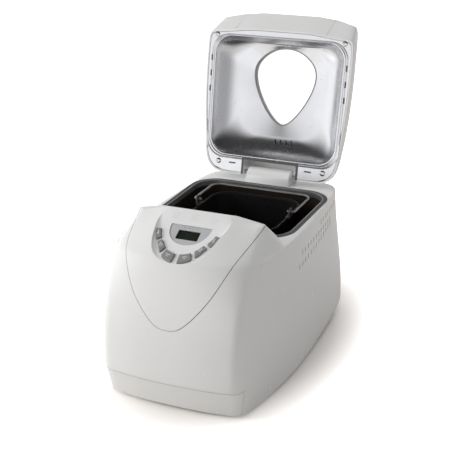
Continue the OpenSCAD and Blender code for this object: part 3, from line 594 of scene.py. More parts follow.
@dataclass(frozen=True)
class Finish(Look):
    """An opaque finish: a base colour that drifts a little, and fine relief that breaks its gloss.

    Noise on Object coordinates drives all three: a broad one tints the colour, a middle one
    moves the roughness, and a fine one is the bump. A speckled finish has pale dots where
    Voronoi cells are near their centre, about two to the square centimetre.
    """

    metallic: float = 0.0
    drift: float = 0.03
    rough_drift: float = 0.04
    relief: float = 0.08
    relief_size: float = 0.0006
    depth: float = 0.00005
    coat: float = 0.0
    coat_roughness: float = 0.12
    specular: float = 0.5
    broad_cells: float = 14.0
    middle_cells: float = 90.0
    pattern: Pattern = Pattern.PLAIN
    speck_cells: float = 420.0
    speck_edge: tuple[float, float] = (0.10, 0.04)
    speck_colour: Colour = (0.05, 0.048, 0.045)

    def fill(self, graph: Graph) -> None:
        """Lays out the nodes of the finish.

        Args:
            graph: the material's node tree.
        """
        where = graph.add("TexCoord", "Object")
        colour = graph.add("Mix", "Result", {
            "A": self.shade(1 - self.drift), "B": self.shade(1 + self.drift),
            "Factor": graph.noise(where, self.broad_cells, 2.0)}, data_type="RGBA")
        if self.pattern is Pattern.SPECKLE:
            cells = graph.add("TexVoronoi", "Distance", {
                "Scale": self.speck_cells, "Vector": where})
            colour = graph.add("Mix", "Result", {
                "A": colour, "B": (*self.speck_colour, 1),
                "Factor": graph.ramp(cells, self.speck_edge, (0.0, 1.0))}, data_type="RGBA")
        gloss = graph.ramp(
            graph.noise(where, self.middle_cells, 3.0), (0.0, 1.0),
            (self.roughness - self.rough_drift, self.roughness + self.rough_drift))
        bump = graph.add("Bump", "Normal", {
            "Strength": self.relief, "Distance": self.depth,
            "Height": graph.noise(where, 1.0 / self.relief_size, 2.0)})
        graph.close("Principled BSDF", {
            "Base Color": colour, "Metallic": self.metallic, "Roughness": gloss,
            "Specular IOR Level": self.specular, "Coat Weight": self.coat,
            "Coat Roughness": self.coat_roughness, "Normal": bump})


@dataclass(frozen=True)
class Glass(Look):
    """A clear pane, mostly see-through, so that what is behind it keeps its own shading.

    Its roughness drifts by a faint noise, as that of wiped glass does.
    """

    roughness: float = 0.03
    haze: float = 2.5
    haze_cells: float = 60.0
    alpha: float = 0.2
    ior: float = 1.5

    def fill(self, graph: Graph) -> None:
        """Lays out the nodes of the pane.

        Args:
            graph: the material's node tree.
        """
        where = graph.add("TexCoord", "Object")
        gloss = graph.ramp(graph.noise(where, self.haze_cells, 3.0), (0.0, 1.0),
                           (self.roughness, self.roughness * self.haze))
        graph.close("Principled BSDF", {
            "Base Color": self.shade(1.0), "Alpha": self.alpha, "IOR": self.ior,
            "Roughness": gloss})


@dataclass(frozen=True)
class FrameFinish:
    """A plain material that the frame brings with it, under its slot's name."""

    name: str

    def material(self) -> bpy.types.Material:
        """Finds the frame's material."""
        return bpy.data.materials[self.name]


WHITE_SHELL = Finish("white_shell", (0.80, 0.80, 0.795), 0.26, drift=0.006, rough_drift=0.03,
                     relief=0.05, relief_size=0.0009, depth=0.00003, coat=0.15)
WHITE_INNER = Finish("white_inner", (0.76, 0.76, 0.75), 0.42, drift=0.01)
PRINT_GREY = Finish("print_grey", (0.66, 0.66, 0.67), 0.5, drift=0.05)
SILVER_TRIM = Finish("silver_trim", (0.56, 0.56, 0.575), 0.36, metallic=0.15, drift=0.02,
                     relief_size=0.0004)
KEY_GREY = Finish("key_grey", (0.30, 0.30, 0.305), 0.36, metallic=0.15, drift=0.05,
                  relief_size=0.0004)
KEY_MARK = Finish("key_mark", (0.72, 0.72, 0.72), 0.45, drift=0.02)
DISPLAY_DARK = Finish("display_dark", (0.018, 0.022, 0.017), 0.22, drift=0.5, rough_drift=0.02,
                      relief=0.0)
LINER_PAINT = Finish("liner_paint", (0.75, 0.755, 0.78), 0.26, metallic=0.96, drift=0.012,
                     relief=0.10, relief_size=0.0005, depth=0.00006)
SLEEVE_WHITE = Finish("sleeve_white", (0.60, 0.585, 0.575), 0.4, drift=0.02)
SEAL_GREY = Finish("seal_grey", (0.34, 0.335, 0.34), 0.5, drift=0.1, relief=0.1)
OVEN_COAT = Finish("oven_coat", (0.026, 0.021, 0.017), 0.34, drift=0.3, rough_drift=0.1,
                   relief=0.25, relief_size=0.0007, specular=0.3)
PAN_COAT = Finish("pan_coat", (0.009, 0.008, 0.008), 0.30, drift=0.25, rough_drift=0.08,
                  relief=0.22, specular=0.2, pattern=Pattern.SPECKLE)
SHEATH = Finish("heater_sheath", (0.16, 0.15, 0.14), 0.45, metallic=0.7, drift=0.3)
CAPACITOR = Finish("capacitor_case", (0.72, 0.72, 0.70), 0.4, drift=0.02)
LENS = Glass("display_lens", (0.03, 0.04, 0.03))
PANE = Glass("window_pane", (0.97, 0.985, 0.985), alpha=0.10)
# Dark rubber of the oven gasket, also used for the painted shade in the lid's vent slots and round
# its hinge notch.
GASKET_AND_SHADE = FrameFinish("gasket_rubber")
FOOT = FrameFinish("foot_rubber")
BRIGHT_STEEL = FrameFinish("bright_steel")
SCREW_STEEL = FrameFinish("screw_steel")

SLOT_FINISH: dict[str, Look] = {
    "white_plastic": WHITE_INNER, "silver_plastic": SILVER_TRIM, "button_grey": KEY_GREY,
    "lcd_dark": DISPLAY_DARK, "clear_lens": LENS, "window_clear": PANE,
    "liner_silver": LINER_PAINT, "chamber_coated": OVEN_COAT, "pan_nonstick": PAN_COAT,
    "sheath_steel": SHEATH, "capacitor_white": CAPACITOR,
}


# ---- pieces ----


def hand_over(obj: Piece, finish: Look | FrameFinish, body: str,
              replaces: Sequence[str] = (), pose: Matrix | None = None) -> None:
    """Finishes a piece: its place goes into its mesh, it gets its finish and rides on its body.

    Args:
        obj: the piece, in plan millimetres at the origin.
        finish: what it is made of.
        body: the CAD body that it moves with.
        replaces: the CAD nodes that it stands for.
        pose: a turn in plan millimetres, for a lid piece drawn closed.
    """
    if pose is not None:
        obj.data.transform(pose)
    obj.data.transform(row_matrix())
    obj.data.materials.clear()
    obj.data.materials.append(finish.material())
    obj.data.polygons.foreach_set("material_index", np.zeros(len(obj.data.polygons), np.int32))
    obj.data.shade_smooth()
    obj.data.set_sharp_from_angle(angle=SHARP_ANGLE)
    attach(obj, body)
    if replaces:
        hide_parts(*replaces)
    log.info("%s: %d faces, rides on %s", obj.name, len(obj.data.polygons), body)


@dataclass
class BodyForm:
    """The outer form of the machine: a plan outline that changes with height, and the nose.

    A half outline has 15 control points from the rear middle to the front middle. Below the
    deck each is a function of height, and above it of the climb u from the deck to the crest.
    """

    width: float = 227.0
    deck: float = DECK_Z
    crest_rise: float = 40.0
    crest_y: float = -72.4
    wall: float = 2.6
    front: float = -187.0
    rear: float = 196.0
    fascia: float = 42.0
    foot: float = 4.0
    edge_radius: float = 2.4
    nose_rear: float = -48.4
    nose_inner: float = 0.76
    control_points: int = 15
    front_from: float = 8.5
    dense_samples: int = 22
    plain_samples: int = 6
    smoothings: int = 60

    def outline(self, z: Array, inset: Array | float) -> Array:
        """Half outlines of the walls.

        The front bulges with the rise above the fascia and draws in below it, the corners
        soften and the rear leans in with the same rise.

        Args:
            z: heights (r,).
            inset: how far the outline is drawn in, one number or one for each height.

        Returns:
            (r, 15, 2) control points.
        """
        w = inset
        rise = unit((z - self.fascia) / (self.deck - self.fascia))
        below = unit((self.fascia - z) / self.fascia)
        f = self.front + 13 * below**0.8 + 36 * rise**2.2
        b = 11.5 + 15 * rise**4
        t = 3.2 * ease(rise) + 5 * unit((24 - z) / 24) ** 2
        r = self.rear - 10 * ease(rise) - 14 * unit((26 - z) / 26) ** 2
        h = self.width / 2 + 1
        return half_outlines([
            (34, r - w), (70, r - 0.6 - w), (h - 21 - t * 2 - w * 0.4, r - 4 - w),
            (h - 8 - t * 1.9 - w, r - 19 - w * 0.3), (h - 4.5 - t * 1.5 - w, r - 46),
            (h - 2 - t - w, 96), (h - t * 0.4 - w, 30), (h - 0.5 - w + 0 * t, -30),
            (h - 4 - w + 0 * t, -78), (h - 9 - w, -118 + 10 * rise),
            (h - 15 - w, f + b + 9 + w * 0.4), (h - 21 - w * 0.5, f + b - 3 + w),
            (76, f + b * 0.42 + w), (48, f + b * 0.12 + w), (18, f + w),
        ])

    def nose(self, u: Array, inset: float) -> Array:
        """Half outlines of the console nose.

        The eight rear points gather on the rear slope. The others climb from the deck's own
        outline to the crest, the middle of the front late and the shoulders early.

        Args:
            u: climbs (r,) from the deck at 0 to the crest at 1.
            inset: how far the outline is drawn in.

        Returns:
            (r, 15, 2) control points.
        """
        half = np.interp(u, [0, 0.4, 0.82, 1], [1, 0.92, 0.81, 0.49])
        back = mix(self.nose_rear, self.crest_y + 1.2, u) - inset
        k = np.arange(8)
        rear_x = (12 + k * 14) * half[:, None] - np.where(k == 7, inset, 0)
        rear = np.stack(np.broadcast_arrays(rear_x, back[:, None]), -1)
        start = self.outline(np.array([self.deck]), inset)[0, 8:]
        blend = np.array([1, 1, 1, 1, 0.8, 0.25, 0])
        middle = 0.42 * u + 0.58 * u**3.2
        side = unit(u / 0.82) ** 1.3
        climb = mix(middle[:, None], side[:, None], blend)
        base_y = start[:, 1].copy()
        base_y[:2] = (-64, -88)
        x = start[:, 0] * mix(1, half[:, None], blend)
        top = self.crest_y + inset * 1.2
        y = np.minimum(back[:, None] - 1, mix(base_y, top, climb))
        return np.concatenate([rear, np.stack([x, y], -1)], 1)

    def samples(self, dense: bool) -> Array:
        """Samples on each control span of the whole ring.

        Args:
            dense: whether the front gets more of them.

        Returns:
            One number for each span.
        """
        fine = self.dense_samples if dense else self.plain_samples
        half = np.where(np.arange(self.control_points) >= 9, fine, self.plain_samples)
        half[:8] = self.plain_samples - 2
        return np.concatenate([half, half[::-1]])

    def surface(self) -> Array:
        """Rings of the whole outer form from the foot to the crest.

        The deck's edge is a quarter round: its rings step in by R (1 - cos) while they rise
        by R sin. The front's rings are then smoothed with their neighbours above and below,
        so that it passes from wall to nose without a crease.

        Returns:
            (r, n, 3) rings.
        """
        lower = np.concatenate([np.linspace(self.foot, 24, 8), np.linspace(28, 112, 18)])
        upper = np.linspace(114, self.deck - self.edge_radius - 0.6, 64)
        turn = np.linspace(0, QUARTER, 6)
        round_z = self.deck - self.edge_radius * (1 - np.sin(turn))
        round_in = self.edge_radius * (1 - np.cos(turn))
        z = np.concatenate([lower, upper, round_z])
        inset = np.concatenate([np.zeros(len(lower) + len(upper)), round_in])
        soft = unit((self.front_from - np.arange(self.control_points)) / 1.5)[None, :, None]
        body = mix(self.outline(z, 0.0), self.outline(z, inset), soft)
        u = np.linspace(0, 1, 84)
        half = np.concatenate([body, self.nose(u, 0.0)])
        counts = self.samples(True)
        height = np.concatenate([z, self.deck + u * self.crest_rise])
        rings = raised(closed_spline(mirror_half(half), counts), height)
        return self.smoothed(rings, counts, len(lower) + len(upper) // 2, len(rings) - 18)

    def smoothed(self, rings: Array, counts: Array, first: int, last: int) -> Array:
        """Averages the front's points with the rings above and below, in many small steps.

        Args:
            rings: (r, n, 3) rings.
            counts: samples on each control span.
            first: the ring where the smoothing fades in.
            last: the ring where it has faded out.

        Returns:
            The smoothed rings.
        """
        spans = len(counts)
        span = np.repeat(np.arange(spans), counts)
        weight = unit((np.minimum(span, spans - 1 - span) - self.front_from) / 2.0)
        row = np.arange(len(rings))
        window = ease((row - first) / 12.0) * ease((last - row) / 12.0)
        amount = 0.5 * weight[None, :, None] * window[:, None, None]
        out = rings.copy()
        for _ in range(self.smoothings):
            near = 0.5 * (out[:-2] + out[2:]) - out[1:-1]
            out[1:-1] += amount[1:-1] * near
        return out

    def inner(self) -> Array:
        """Rings of the hollow inside the wall, which reaches out below the foot.

        Returns:
            (r, n, 3) rings.
        """
        w = self.wall
        z = np.concatenate([[self.foot, 11, 24, 42], np.linspace(60, 182, 8)])
        climb = np.linspace(0, self.nose_inner, 8)
        low = self.outline(z, w)
        rows = [low[:1], low, self.outline(np.array([self.deck]), w), self.nose(climb, w)]
        height = np.concatenate([
            [-1.0], z, [self.deck - w], self.deck + climb * self.crest_rise - 1.2 * w])
        return raised(
            closed_spline(mirror_half(np.concatenate(rows)), self.samples(False)), height)

    def foot_outline(self, inset: float) -> Array:
        """Outline of the foot of the walls, drawn in by inset."""
        return closed_spline(mirror_half(self.outline(np.array([self.foot]), inset)), 5)[0]


FIELD_HALF = np.array([[56.5, 47], [52.5, 27], [48.5, 10], [45, -4.5], [42, -19], [36, -34],
                       [24, -45], [8, -50.5]], float)


@dataclass
class ControlField:
    """The sloped control field with its display and six keys, in its own plane.

    The keys are sectors of a band round the display. Its inner and outer radius swell
    towards its middle with the cosine of twice the angle.
    """

    tilt: float = 28.0
    origin: Point = (0.0, -109.5, 217.0)
    panel: float = 2.4
    band_y: float = 12.0
    band_inner: tuple[float, float] = (39.4, 6.0)
    band_outer: tuple[float, float] = (46.0, 12.8)
    swell: float = 1.2
    key_from: tuple[float, ...] = (55.0, 28.5, 4.0)
    key_to: tuple[float, ...] = (77.5, 48.5, 22.5)
    key_corner: float = 1.7
    key_top: float = 2.8
    key_gap: float = 0.55
    bezel_r: float = 28.4
    bezel_flat: float = 14.8
    bezel_top: float = -0.9
    lens: float = 1.2
    display: tuple[float, float] = (31.0, 15.0)
    sink_width: float = 4.0

    @property
    def place(self) -> Place:
        """The field's plane: u to the right, v up the slope, w out of it."""
        c, s = math.cos(math.radians(self.tilt)), math.sin(math.radians(self.tilt))
        return Place(self.origin, (1.0, 0.0, 0.0), (0.0, c, s), (0.0, -s, c))

    def outline(self, grow: float = 0.0) -> Array:
        """The field's U-shaped outline, which runs out over the crest."""
        return grown(closed_spline(mirror_half(FIELD_HALF), 6)[::-1], grow)

    def press(self) -> Piece:
        """Tool that presses the nose flat: a floor in the field's plane and a curved wall.

        The wall's inset at height h is W (1 - h/W)^3 up to the height W, and then nothing.

        Returns:
            The tool.
        """
        w = self.sink_width
        height = np.concatenate([np.linspace(0, w, 10), [40.0]])
        inset = w * unit(1 - height / w) ** 3
        return loft("press_tool", carried(self.outline, list(zip(-inset, height)), self.place))

    def band_point(self, degrees: Array | float, radius: Array | float) -> Array:
        """Point of the key band at an angle from straight down."""
        a = np.radians(degrees)
        return np.stack([radius * np.sin(a), self.band_y - radius * np.cos(a)], -1)

    def band_radii(self, degrees: Array | float) -> tuple[Array, Array]:
        """Radii of the key band.

        Args:
            degrees: angle from straight down.

        Returns:
            The inner and the outer radius.
        """
        lift = np.maximum(0, np.cos(2 * np.radians(degrees)))
        (inner, inner_swell), (outer, outer_swell) = self.band_inner, self.band_outer
        return inner + inner_swell * lift, outer + outer_swell * lift**self.swell

    def key_outline(self, k: int) -> Array:
        """Sector of the key band with rounded corners.

        Two points close to each corner let a spline round only the corners.

        Args:
            k: number of the key, 0 the outermost.

        Returns:
            (n, 2) outline, counter-clockwise.
        """
        a = np.linspace(self.key_from[k], self.key_to[k], 7)
        inner, outer = self.band_radii(a)
        ring = np.concatenate([self.band_point(a, inner)[::-1], self.band_point(a, outer)])
        points = []
        for i, here in enumerate(ring):
            if i in (0, 6, 7, 13):
                ways = [other - here for other in (ring[i - 1], ring[(i + 1) % len(ring)])]
                before, after = (
                    here + way * min(0.45, self.key_corner / np.linalg.norm(way)) for way in ways)
                points += [before, here, after]
            else:
                points.append(here)
        fine = closed_spline(np.array(points), 3)
        following = np.roll(fine, -1, 0)
        area = (fine[:, 0] * following[:, 1] - fine[:, 1] * following[:, 0]).sum()
        return fine if area > 0 else fine[::-1]

    def key_angle(self, k: int) -> float:
        """Angle of a key's middle from straight down."""
        return (self.key_from[k] + self.key_to[k]) / 2

    def key_middle(self, k: int) -> Array:
        """Centre of a key."""
        inner, outer = self.band_radii(self.key_angle(k))
        return self.band_point(self.key_angle(k), (inner + outer) / 2)

    def display_outline(self, grow: float, corner: float, steps: int) -> Array:
        """Outline of the display, grown evenly, with that radius at its corners."""
        wide, high = self.display
        return rounded_rectangle(wide + 2 * grow, high + 2 * grow, corner, steps)

    def bezel_outline(self, grow: float) -> Array:
        """D-shaped display surround: a circle cut off by a level line, corners rounded.

        Args:
            grow: how far the outline is grown.

        Returns:
            (n, 2) outline, counter-clockwise.
        """
        half = math.acos((self.bezel_flat - self.band_y) / self.bezel_r)
        a = np.linspace(QUARTER + half, 5 * QUARTER - half, 60)
        arc = np.stack([np.cos(a), np.sin(a)], -1) * self.bezel_r + np.array([0, self.band_y])
        ends = mix(arc[-1], arc[0], np.array([[0.06], [0.94]]))
        return grown(closed_spline(np.concatenate([ends[1:], arc, ends[:1]]), 2), grow)


@dataclass
class Oven:
    """Oven mouth and chamber: gasket, steel rim and dark coated tub."""

    width: float = 196.0
    length: float = 168.0
    radius: float = 30.0
    middle_y: float = 54.0
    floor: float = 47.0
    deck: float = DECK_Z
    lip: float = 0.7
    hub_radius: float = 17.0
    lead_x: float = 35.0
    lead_rise: float = 24.0
    lead_radius: float = 4.3
    probe_y: float = 34.0
    probe_rise: float = 62.0
    probe_radius: float = 3.2

    def outline(self, grow: float, corner: float | None = None) -> Array:
        """Oven outline.

        Args:
            grow: how far it is grown.
            corner: how far the corners' radius is grown, if not as far.

        Returns:
            (n, 2) outline, counter-clockwise.
        """
        radius = self.radius + (grow if corner is None else corner)
        return rounded_rectangle(self.width + 2 * grow, self.length + 2 * grow, radius, 14,
                                 (0, self.middle_y))

    def mouth(self) -> None:
        """Dark gasket and bright rim: closed profiles of (grow, height) carried round."""
        d, top = self.deck, self.deck + self.lip
        gasket = loft("oven_gasket", carried(self.outline, [
            (1.35, d - 0.95), (1.35, top - 0.7), (1.8, top - 0.2), (3.2, top), (3.7, d + 0.1),
            (4.4, d - 0.1), (4.9, top - 0.1), (6.3, top - 0.1), (6.9, d + 0.1), (6.95, d - 3.9),
            (5.1, d - 3.9), (5.1, d - 0.95)]), Ends.JOINED)
        hand_over(gasket, GASKET_AND_SHADE, "housing", ["rim_seal"])
        rim = loft("oven_rim", carried(self.outline, [
            (0.0, d - 7.0), (0.0, top - 0.4), (0.3, top), (1.0, top), (1.3, top - 0.4),
            (1.3, d - 1.1), (4.6, d - 1.1), (4.6, d - 2.2), (0.9, d - 2.3), (0.9, d - 7.0)]),
            Ends.JOINED)
        hand_over(rim, BRIGHT_STEEL, "housing")

    def tub(self) -> None:
        """Coated tub with holes for the drive, the heater's two leads and the sensor."""
        side, low = self.deck - 7.05, self.floor
        tub = loft("oven_tub", carried(self.outline, [
            (-60, low), (-8, low), (-3, low + 0.2), (0.2, low + 2.4), (1.0, low + 6), (1.0, side),
            (0.0, side), (0.0, low + 8), (-0.8, low + 4.2), (-3.2, low + 1.7), (-8, low + 1),
            (-60, low + 1)]))
        front = self.middle_y - self.length / 2 + 1
        leads = [(x * self.lead_x, front, low + self.lead_rise) for x in (-1, 1)]
        probe = [(-self.width / 2, self.probe_y, low + self.probe_rise)]
        hub = circle(self.hub_radius, 40)
        carve(tub, [
            prisms(hub, -6, 6, FLAT, [(0, PAN_Y, low)]),
            prisms(circle(self.lead_radius, 24), -8, 8, FACING_FRONT, leads),
            prisms(circle(self.probe_radius, 24), -8, 8, FACING_RIGHT, probe)])
        hand_over(tub, OVEN_COAT, "housing", ["oven_chamber"])

    def build(self) -> None:
        """Builds every piece of the oven."""
        self.mouth()
        self.tub()


APRON_TOP = 240.0
APRON_HALF = np.array([[95, APRON_TOP], [91, 229], [88, 221.5], [84.5, 213.5], [79.5, 204],
                       [74, 194], [66.5, 179], [59.5, 166], [52, 154.5], [43, 143], [32, 130.5],
                       [21, 120.5], [10, 114.5]], float)


@dataclass
class Case:
    """The white case: housing, apron with the control field, and base tray."""

    form: BodyForm = field(default_factory=BodyForm)
    control: ControlField = field(default_factory=ControlField)
    oven: Oven = field(default_factory=Oven)
    seam: float = 0.8
    fascia_y: float = -164.0
    apron_back: float = -66.0
    opening: float = 7.3
    opening_corner: float = 6.0
    opening_span: tuple[float, float] = (176.0, 216.0)
    field_margin: float = 2.2
    bezel_gap: float = 0.35
    fascia_half: float = 140.0
    fascia_front: float = -260.0
    vent_rows: tuple[tuple[float, float, int, float], ...] = (
        (-12, 150, 13, 0.9), (-1, 167.5, 12, 0), (76, 180.5, 7, 0.3))
    vent_pitch: float = 11.0
    vent: tuple[float, float] = (2.4, 7.6)
    vent_turn: float = -10.0
    rear_vent: tuple[float, float] = (3.6, 40.0)
    rear_from: tuple[float, float] = (-54.0, 112.0)
    rear_pitch: float = 12.0
    rear_count: int = 10
    floor_vent: tuple[float, float] = (3.6, 14.0)
    floor_vent_y: float = 70.0
    floor_pitch: tuple[float, float] = (20.0, 24.0)
    floor_inset: float = 3.1
    floor_top: float = 7.4
    gland: tuple[float, float] = (60.0, 24.0)
    gland_radius: float = 6.1

    def outer(self) -> Piece:
        """The whole outer form."""
        return loft("outer", self.form.surface())

    def hollow(self) -> Piece:
        """The space inside the walls."""
        return loft("hollow", self.form.inner())

    def apron_prism(self, inset: float) -> Piece:
        """Prism of the apron's outline seen from the front.

        Args:
            inset: how far it is drawn in.

        Returns:
            The tool.
        """
        outline = closed_spline(mirror_half(APRON_HALF), 5)[::-1]
        outline[:, 1] = np.where(outline[:, 1] > APRON_TOP - 2, APRON_TOP, outline[:, 1])
        depth = -self.apron_back + inset
        return prisms(grown(outline, -inset), depth, depth + 140, FACING_FRONT)

    def fascia_block(self, gap: float) -> Piece:
        """Block that the base tray's front takes out of the case.

        Args:
            gap: how far it is grown to the rear and upwards.

        Returns:
            The tool.
        """
        box = band(self.fascia_half, self.fascia_front, self.fascia_y + gap)
        return prisms(box, -5, self.form.fascia + gap)

    def side_slots(self, side: int) -> Piece:
        """Louvres high on one flank, as a fan of three rows.

        Args:
            side: 1 for the right flank, -1 for the left.

        Returns:
            The tool.
        """
        x = side * (self.form.width / 2 - 3)
        centres = [(x, y + i * self.vent_pitch, z + i * climb)
                   for y, z, count, climb in self.vent_rows for i in range(count)]
        louvre = turned(capsule(*self.vent), self.vent_turn)
        return prisms(louvre, -9, 9, FACING_RIGHT, centres)

    def rear_slots(self) -> Piece:
        """Upright slots on the rear wall.

        Returns:
            The tool.
        """
        x, z = self.rear_from
        centres = [(x + i * self.rear_pitch, self.form.rear - 2, z) for i in range(self.rear_count)]
        return prisms(capsule(*self.rear_vent), -12, 12, FACING_FRONT, centres)

    def housing(self) -> None:
        """Case without apron and fascia, with the oven's mouth and the vents cut through."""
        shell = self.outer()
        shell.name = "case_housing"
        mouth = self.oven.outline(self.opening, self.opening_corner)
        gland = circle(self.gland_radius, 24)
        gland_place = [(self.gland[0], self.form.rear - 30, self.gland[1])]
        carve(shell, [
            self.hollow(), self.apron_prism(0.0), self.fascia_block(0.0),
            prisms(mouth, *self.opening_span), self.side_slots(1), self.side_slots(-1),
            self.rear_slots(), prisms(gland, -60, 0, FACING_FRONT, gland_place)])
        hand_over(shell, WHITE_SHELL, "housing", ["main_housing"])

    def apron(self) -> None:
        """Front apron with the control field, its display hole and six key holes."""
        control = self.control
        shell, core = self.outer(), self.hollow()
        shell.name = "case_apron"
        carve(shell, [self.apron_prism(self.seam)], Cut.KEEP)
        behind = control.outline(self.field_margin)
        carve(core, [prisms(behind, -control.panel, 40, control.place)])
        holes = [prisms(control.bezel_outline(self.bezel_gap), -9, 9, control.place)]
        for k in range(3):
            for side in (1, -1):
                outline = grown(control.key_outline(k), control.key_gap) * np.array([side, 1])
                holes.append(prisms(outline[::side], -7, 7, control.place))
        carve(shell, [control.press(), core, *holes])
        hand_over(shell, WHITE_SHELL, "housing", ["front_panel"])

    def tray(self) -> None:
        """Base tray: the front fascia and the floor that closes the case."""
        fascia = self.outer()
        fascia.name = "tray_fascia"
        carve(fascia, [self.fascia_block(-self.seam)], Cut.KEEP)
        carve(fascia, [self.hollow()])
        outline = self.form.foot_outline(self.floor_inset)
        floor = prisms(outline, self.form.foot, self.floor_top, name="tray_floor")
        across, along = self.floor_pitch
        grid = [(i * across, self.floor_vent_y + j * along, 6)
                for i in range(-3, 4) for j in range(3)]
        carve(floor, [prisms(capsule(*self.floor_vent), -6, 6, FLAT, grid)])
        hand_over(fascia, WHITE_SHELL, "housing", ["base_tray"])
        hand_over(floor, WHITE_INNER, "housing")

    def build(self) -> None:
        """Builds every piece of the case."""
        self.housing()
        self.apron()
        self.tray()


@dataclass
class Console:
    """What sits in the control field: surround, display, lens, keys and their marks."""

    control: ControlField = field(default_factory=ControlField)
    key_order: tuple[tuple[int, int], ...] = ((0, -1), (1, -1), (2, -1), (2, 1), (1, 1), (0, 1))
    bezel_low: float = -3.9
    bezel_edge: float = 0.35
    glass_low: float = -8.6
    glass_edge: float = 0.15
    tick: tuple[float, ...] = (3.4, 0.7, 0.3)
    tick_height: float = 0.12
    cap_low: float = -4.0
    cap_edge: float = 0.9
    cap_crown: float = 0.25
    skirt: float = 1.4
    skirt_top: float = -2.8
    stem_radius: float = 2.0
    stem_low: float = -5.6
    bar: tuple[float, ...] = (6.4, 1.0, 0.45)
    bar_place: tuple[float, float] = (0.0, 1.2)
    dash: tuple[float, ...] = (3.2, 0.9, 0.4)
    dash_place: tuple[float, float] = (0.6, -1.4)
    mark_height: float = 0.33
    rule_length: float = 13.0
    rule_step: float = 2.0
    rule: tuple[float, float] = (0.7, 0.3)
    legend_rows: int = 4
    rule_pitch: float = 2.9
    legend_top: float = 33.5
    legend_x: tuple[float, ...] = (-27.0, -1.0, 26.0)
    tick_x: tuple[float, ...] = (-9.0, -3.0, 3.0, 9.0)
    tick_y: float = 11.6

    def rounded_top(self, outline: Array, low: float, top: float, radius: float,
                    crown: float = 0.0) -> Array:
        """Rings of a straight wall that ends in a quarter round and a crowned face.

        The crown's rings draw in towards the outline's middle, and rise as 1 - (1 - s)^2.

        Args:
            outline: (n, 2) outline of the wall.
            low: where the wall starts.
            top: height of the face's edge.
            radius: radius of the quarter round.
            crown: how far the middle of the face stands above its edge.

        Returns:
            (r, n, 3) rings.
        """
        place = self.control.place
        turn = np.linspace(0, QUARTER, 5)
        edge = zip(-radius * (1 - np.cos(turn)), top - radius * (1 - np.sin(turn)))
        wall = carried(lambda grow: grown(outline, grow), [(0.0, low), *edge], place)
        last = grown(outline, -radius)
        face = [place.points(mix(last, last.mean(0), s), top + crown * (1 - (1 - s) ** 2))
                for s in (0.2, 0.45, 0.75)]
        return np.concatenate([wall, face])

    def surround(self) -> None:
        """Silver D-shaped surround with a window for the display."""
        c = self.control
        piece = loft("display_surround", self.rounded_top(
            c.bezel_outline(0.0), self.bezel_low, c.bezel_top, self.bezel_edge))
        carve(piece, [
            prisms(c.display_outline(0.0, 0.8, 4), -9, 9, c.place),
            prisms(c.display_outline(1.5, 1.0, 4), -9, c.bezel_top - c.lens, c.place)])
        hand_over(piece, SILVER_TRIM, "housing", ["display_bezel"])
        centres = [x * np.array(c.place.across) + self.tick_y * np.array(c.place.along)
                   for x in self.tick_x]
        marks = prisms(rounded_rectangle(*self.tick, 2), c.bezel_top,
                       c.bezel_top + self.tick_height, c.place, centres, "surround_ticks")
        hand_over(marks, KEY_GREY, "housing")

    def screen(self) -> None:
        """Dark display behind its clear lens."""
        c = self.control
        under = c.bezel_top - 2 * c.lens
        glass = loft("display_glass", self.rounded_top(
            c.display_outline(0.8, 0.6, 3), self.glass_low, under, self.glass_edge))
        hand_over(glass, DISPLAY_DARK, "housing", ["lcd_display"])
        lens = c.display_outline(1.3, 0.8, 3)
        pane = prisms(lens, under + CLEAR, under + c.lens, c.place, name="display_lens")
        hand_over(pane, LENS, "housing", ["display_window"])

    def key(self, number: int, k: int, side: int) -> None:
        """One key with a softly rounded top, and a raised bar and dash as its mark.

        Args:
            number: number of its body.
            k: its sector of the band, 0 the outermost.
            side: 1 on the right, -1 on the left.
        """
        c = self.control
        flip = np.array([side, 1])
        outline = (c.key_outline(k) * flip)[::side]
        middle = c.key_middle(k) * flip
        cap = loft(f"key_{number}_cap", self.rounded_top(
            outline, self.cap_low, c.key_top, self.cap_edge, self.cap_crown))
        stem = circle(self.stem_radius, 20, middle)
        carve(cap, [prisms(grown(outline, self.skirt), self.cap_low, self.skirt_top, c.place),
                    prisms(stem, self.stem_low, self.cap_low + 0.1, c.place)], Cut.ADD)
        hand_over(cap, KEY_GREY, f"key_{number}", [f"button_{number}"])
        marks = []
        for size, spot in ((self.bar, self.bar_place), (self.dash, self.dash_place)):
            sign = turned(rounded_rectangle(*size, 3), side * c.key_angle(k))
            marks.append(prisms(sign + middle + np.array(spot) * flip, c.key_top,
                                c.key_top + self.mark_height, c.place))
        hand_over(join(f"key_{number}_mark", marks), KEY_MARK, f"key_{number}")

    def legend(self) -> None:
        """Three columns of fine printed rules above the display, as a plain programme legend."""
        rules = []
        for column, x in enumerate(self.legend_x):
            for row in range(self.legend_rows):
                length = self.rule_length - self.rule_step * ((row + column) % 3)
                middle = x - (self.rule_length - length) / 2
                y = self.legend_top - row * self.rule_pitch
                rule = rounded_rectangle(length, *self.rule, 2, (middle, y))
                rules.append(prisms(rule, -0.3, 0.06, self.control.place))
        hand_over(join("console_legend", rules), PRINT_GREY, "housing")

    def build(self) -> None:
        """Builds every piece of the console."""
        self.surround()
        self.screen()
        for number, (k, side) in enumerate(self.key_order, 1):
            self.key(number, k, side)
        self.legend()


WINDOW_HALF = np.array([[9, 90.5], [33, 62], [49, 26], [46, 0], [18, -21]], float)
SCREW_PROFILE = [(0.6, -0.9), (2.2, -0.85), (3.3, -0.6), (3.95, -0.15), (4.1, 0.3), (4.1, 0.58),
                 (1.3, 0.58), (1.3, 13.0), (0.6, 14.0)]


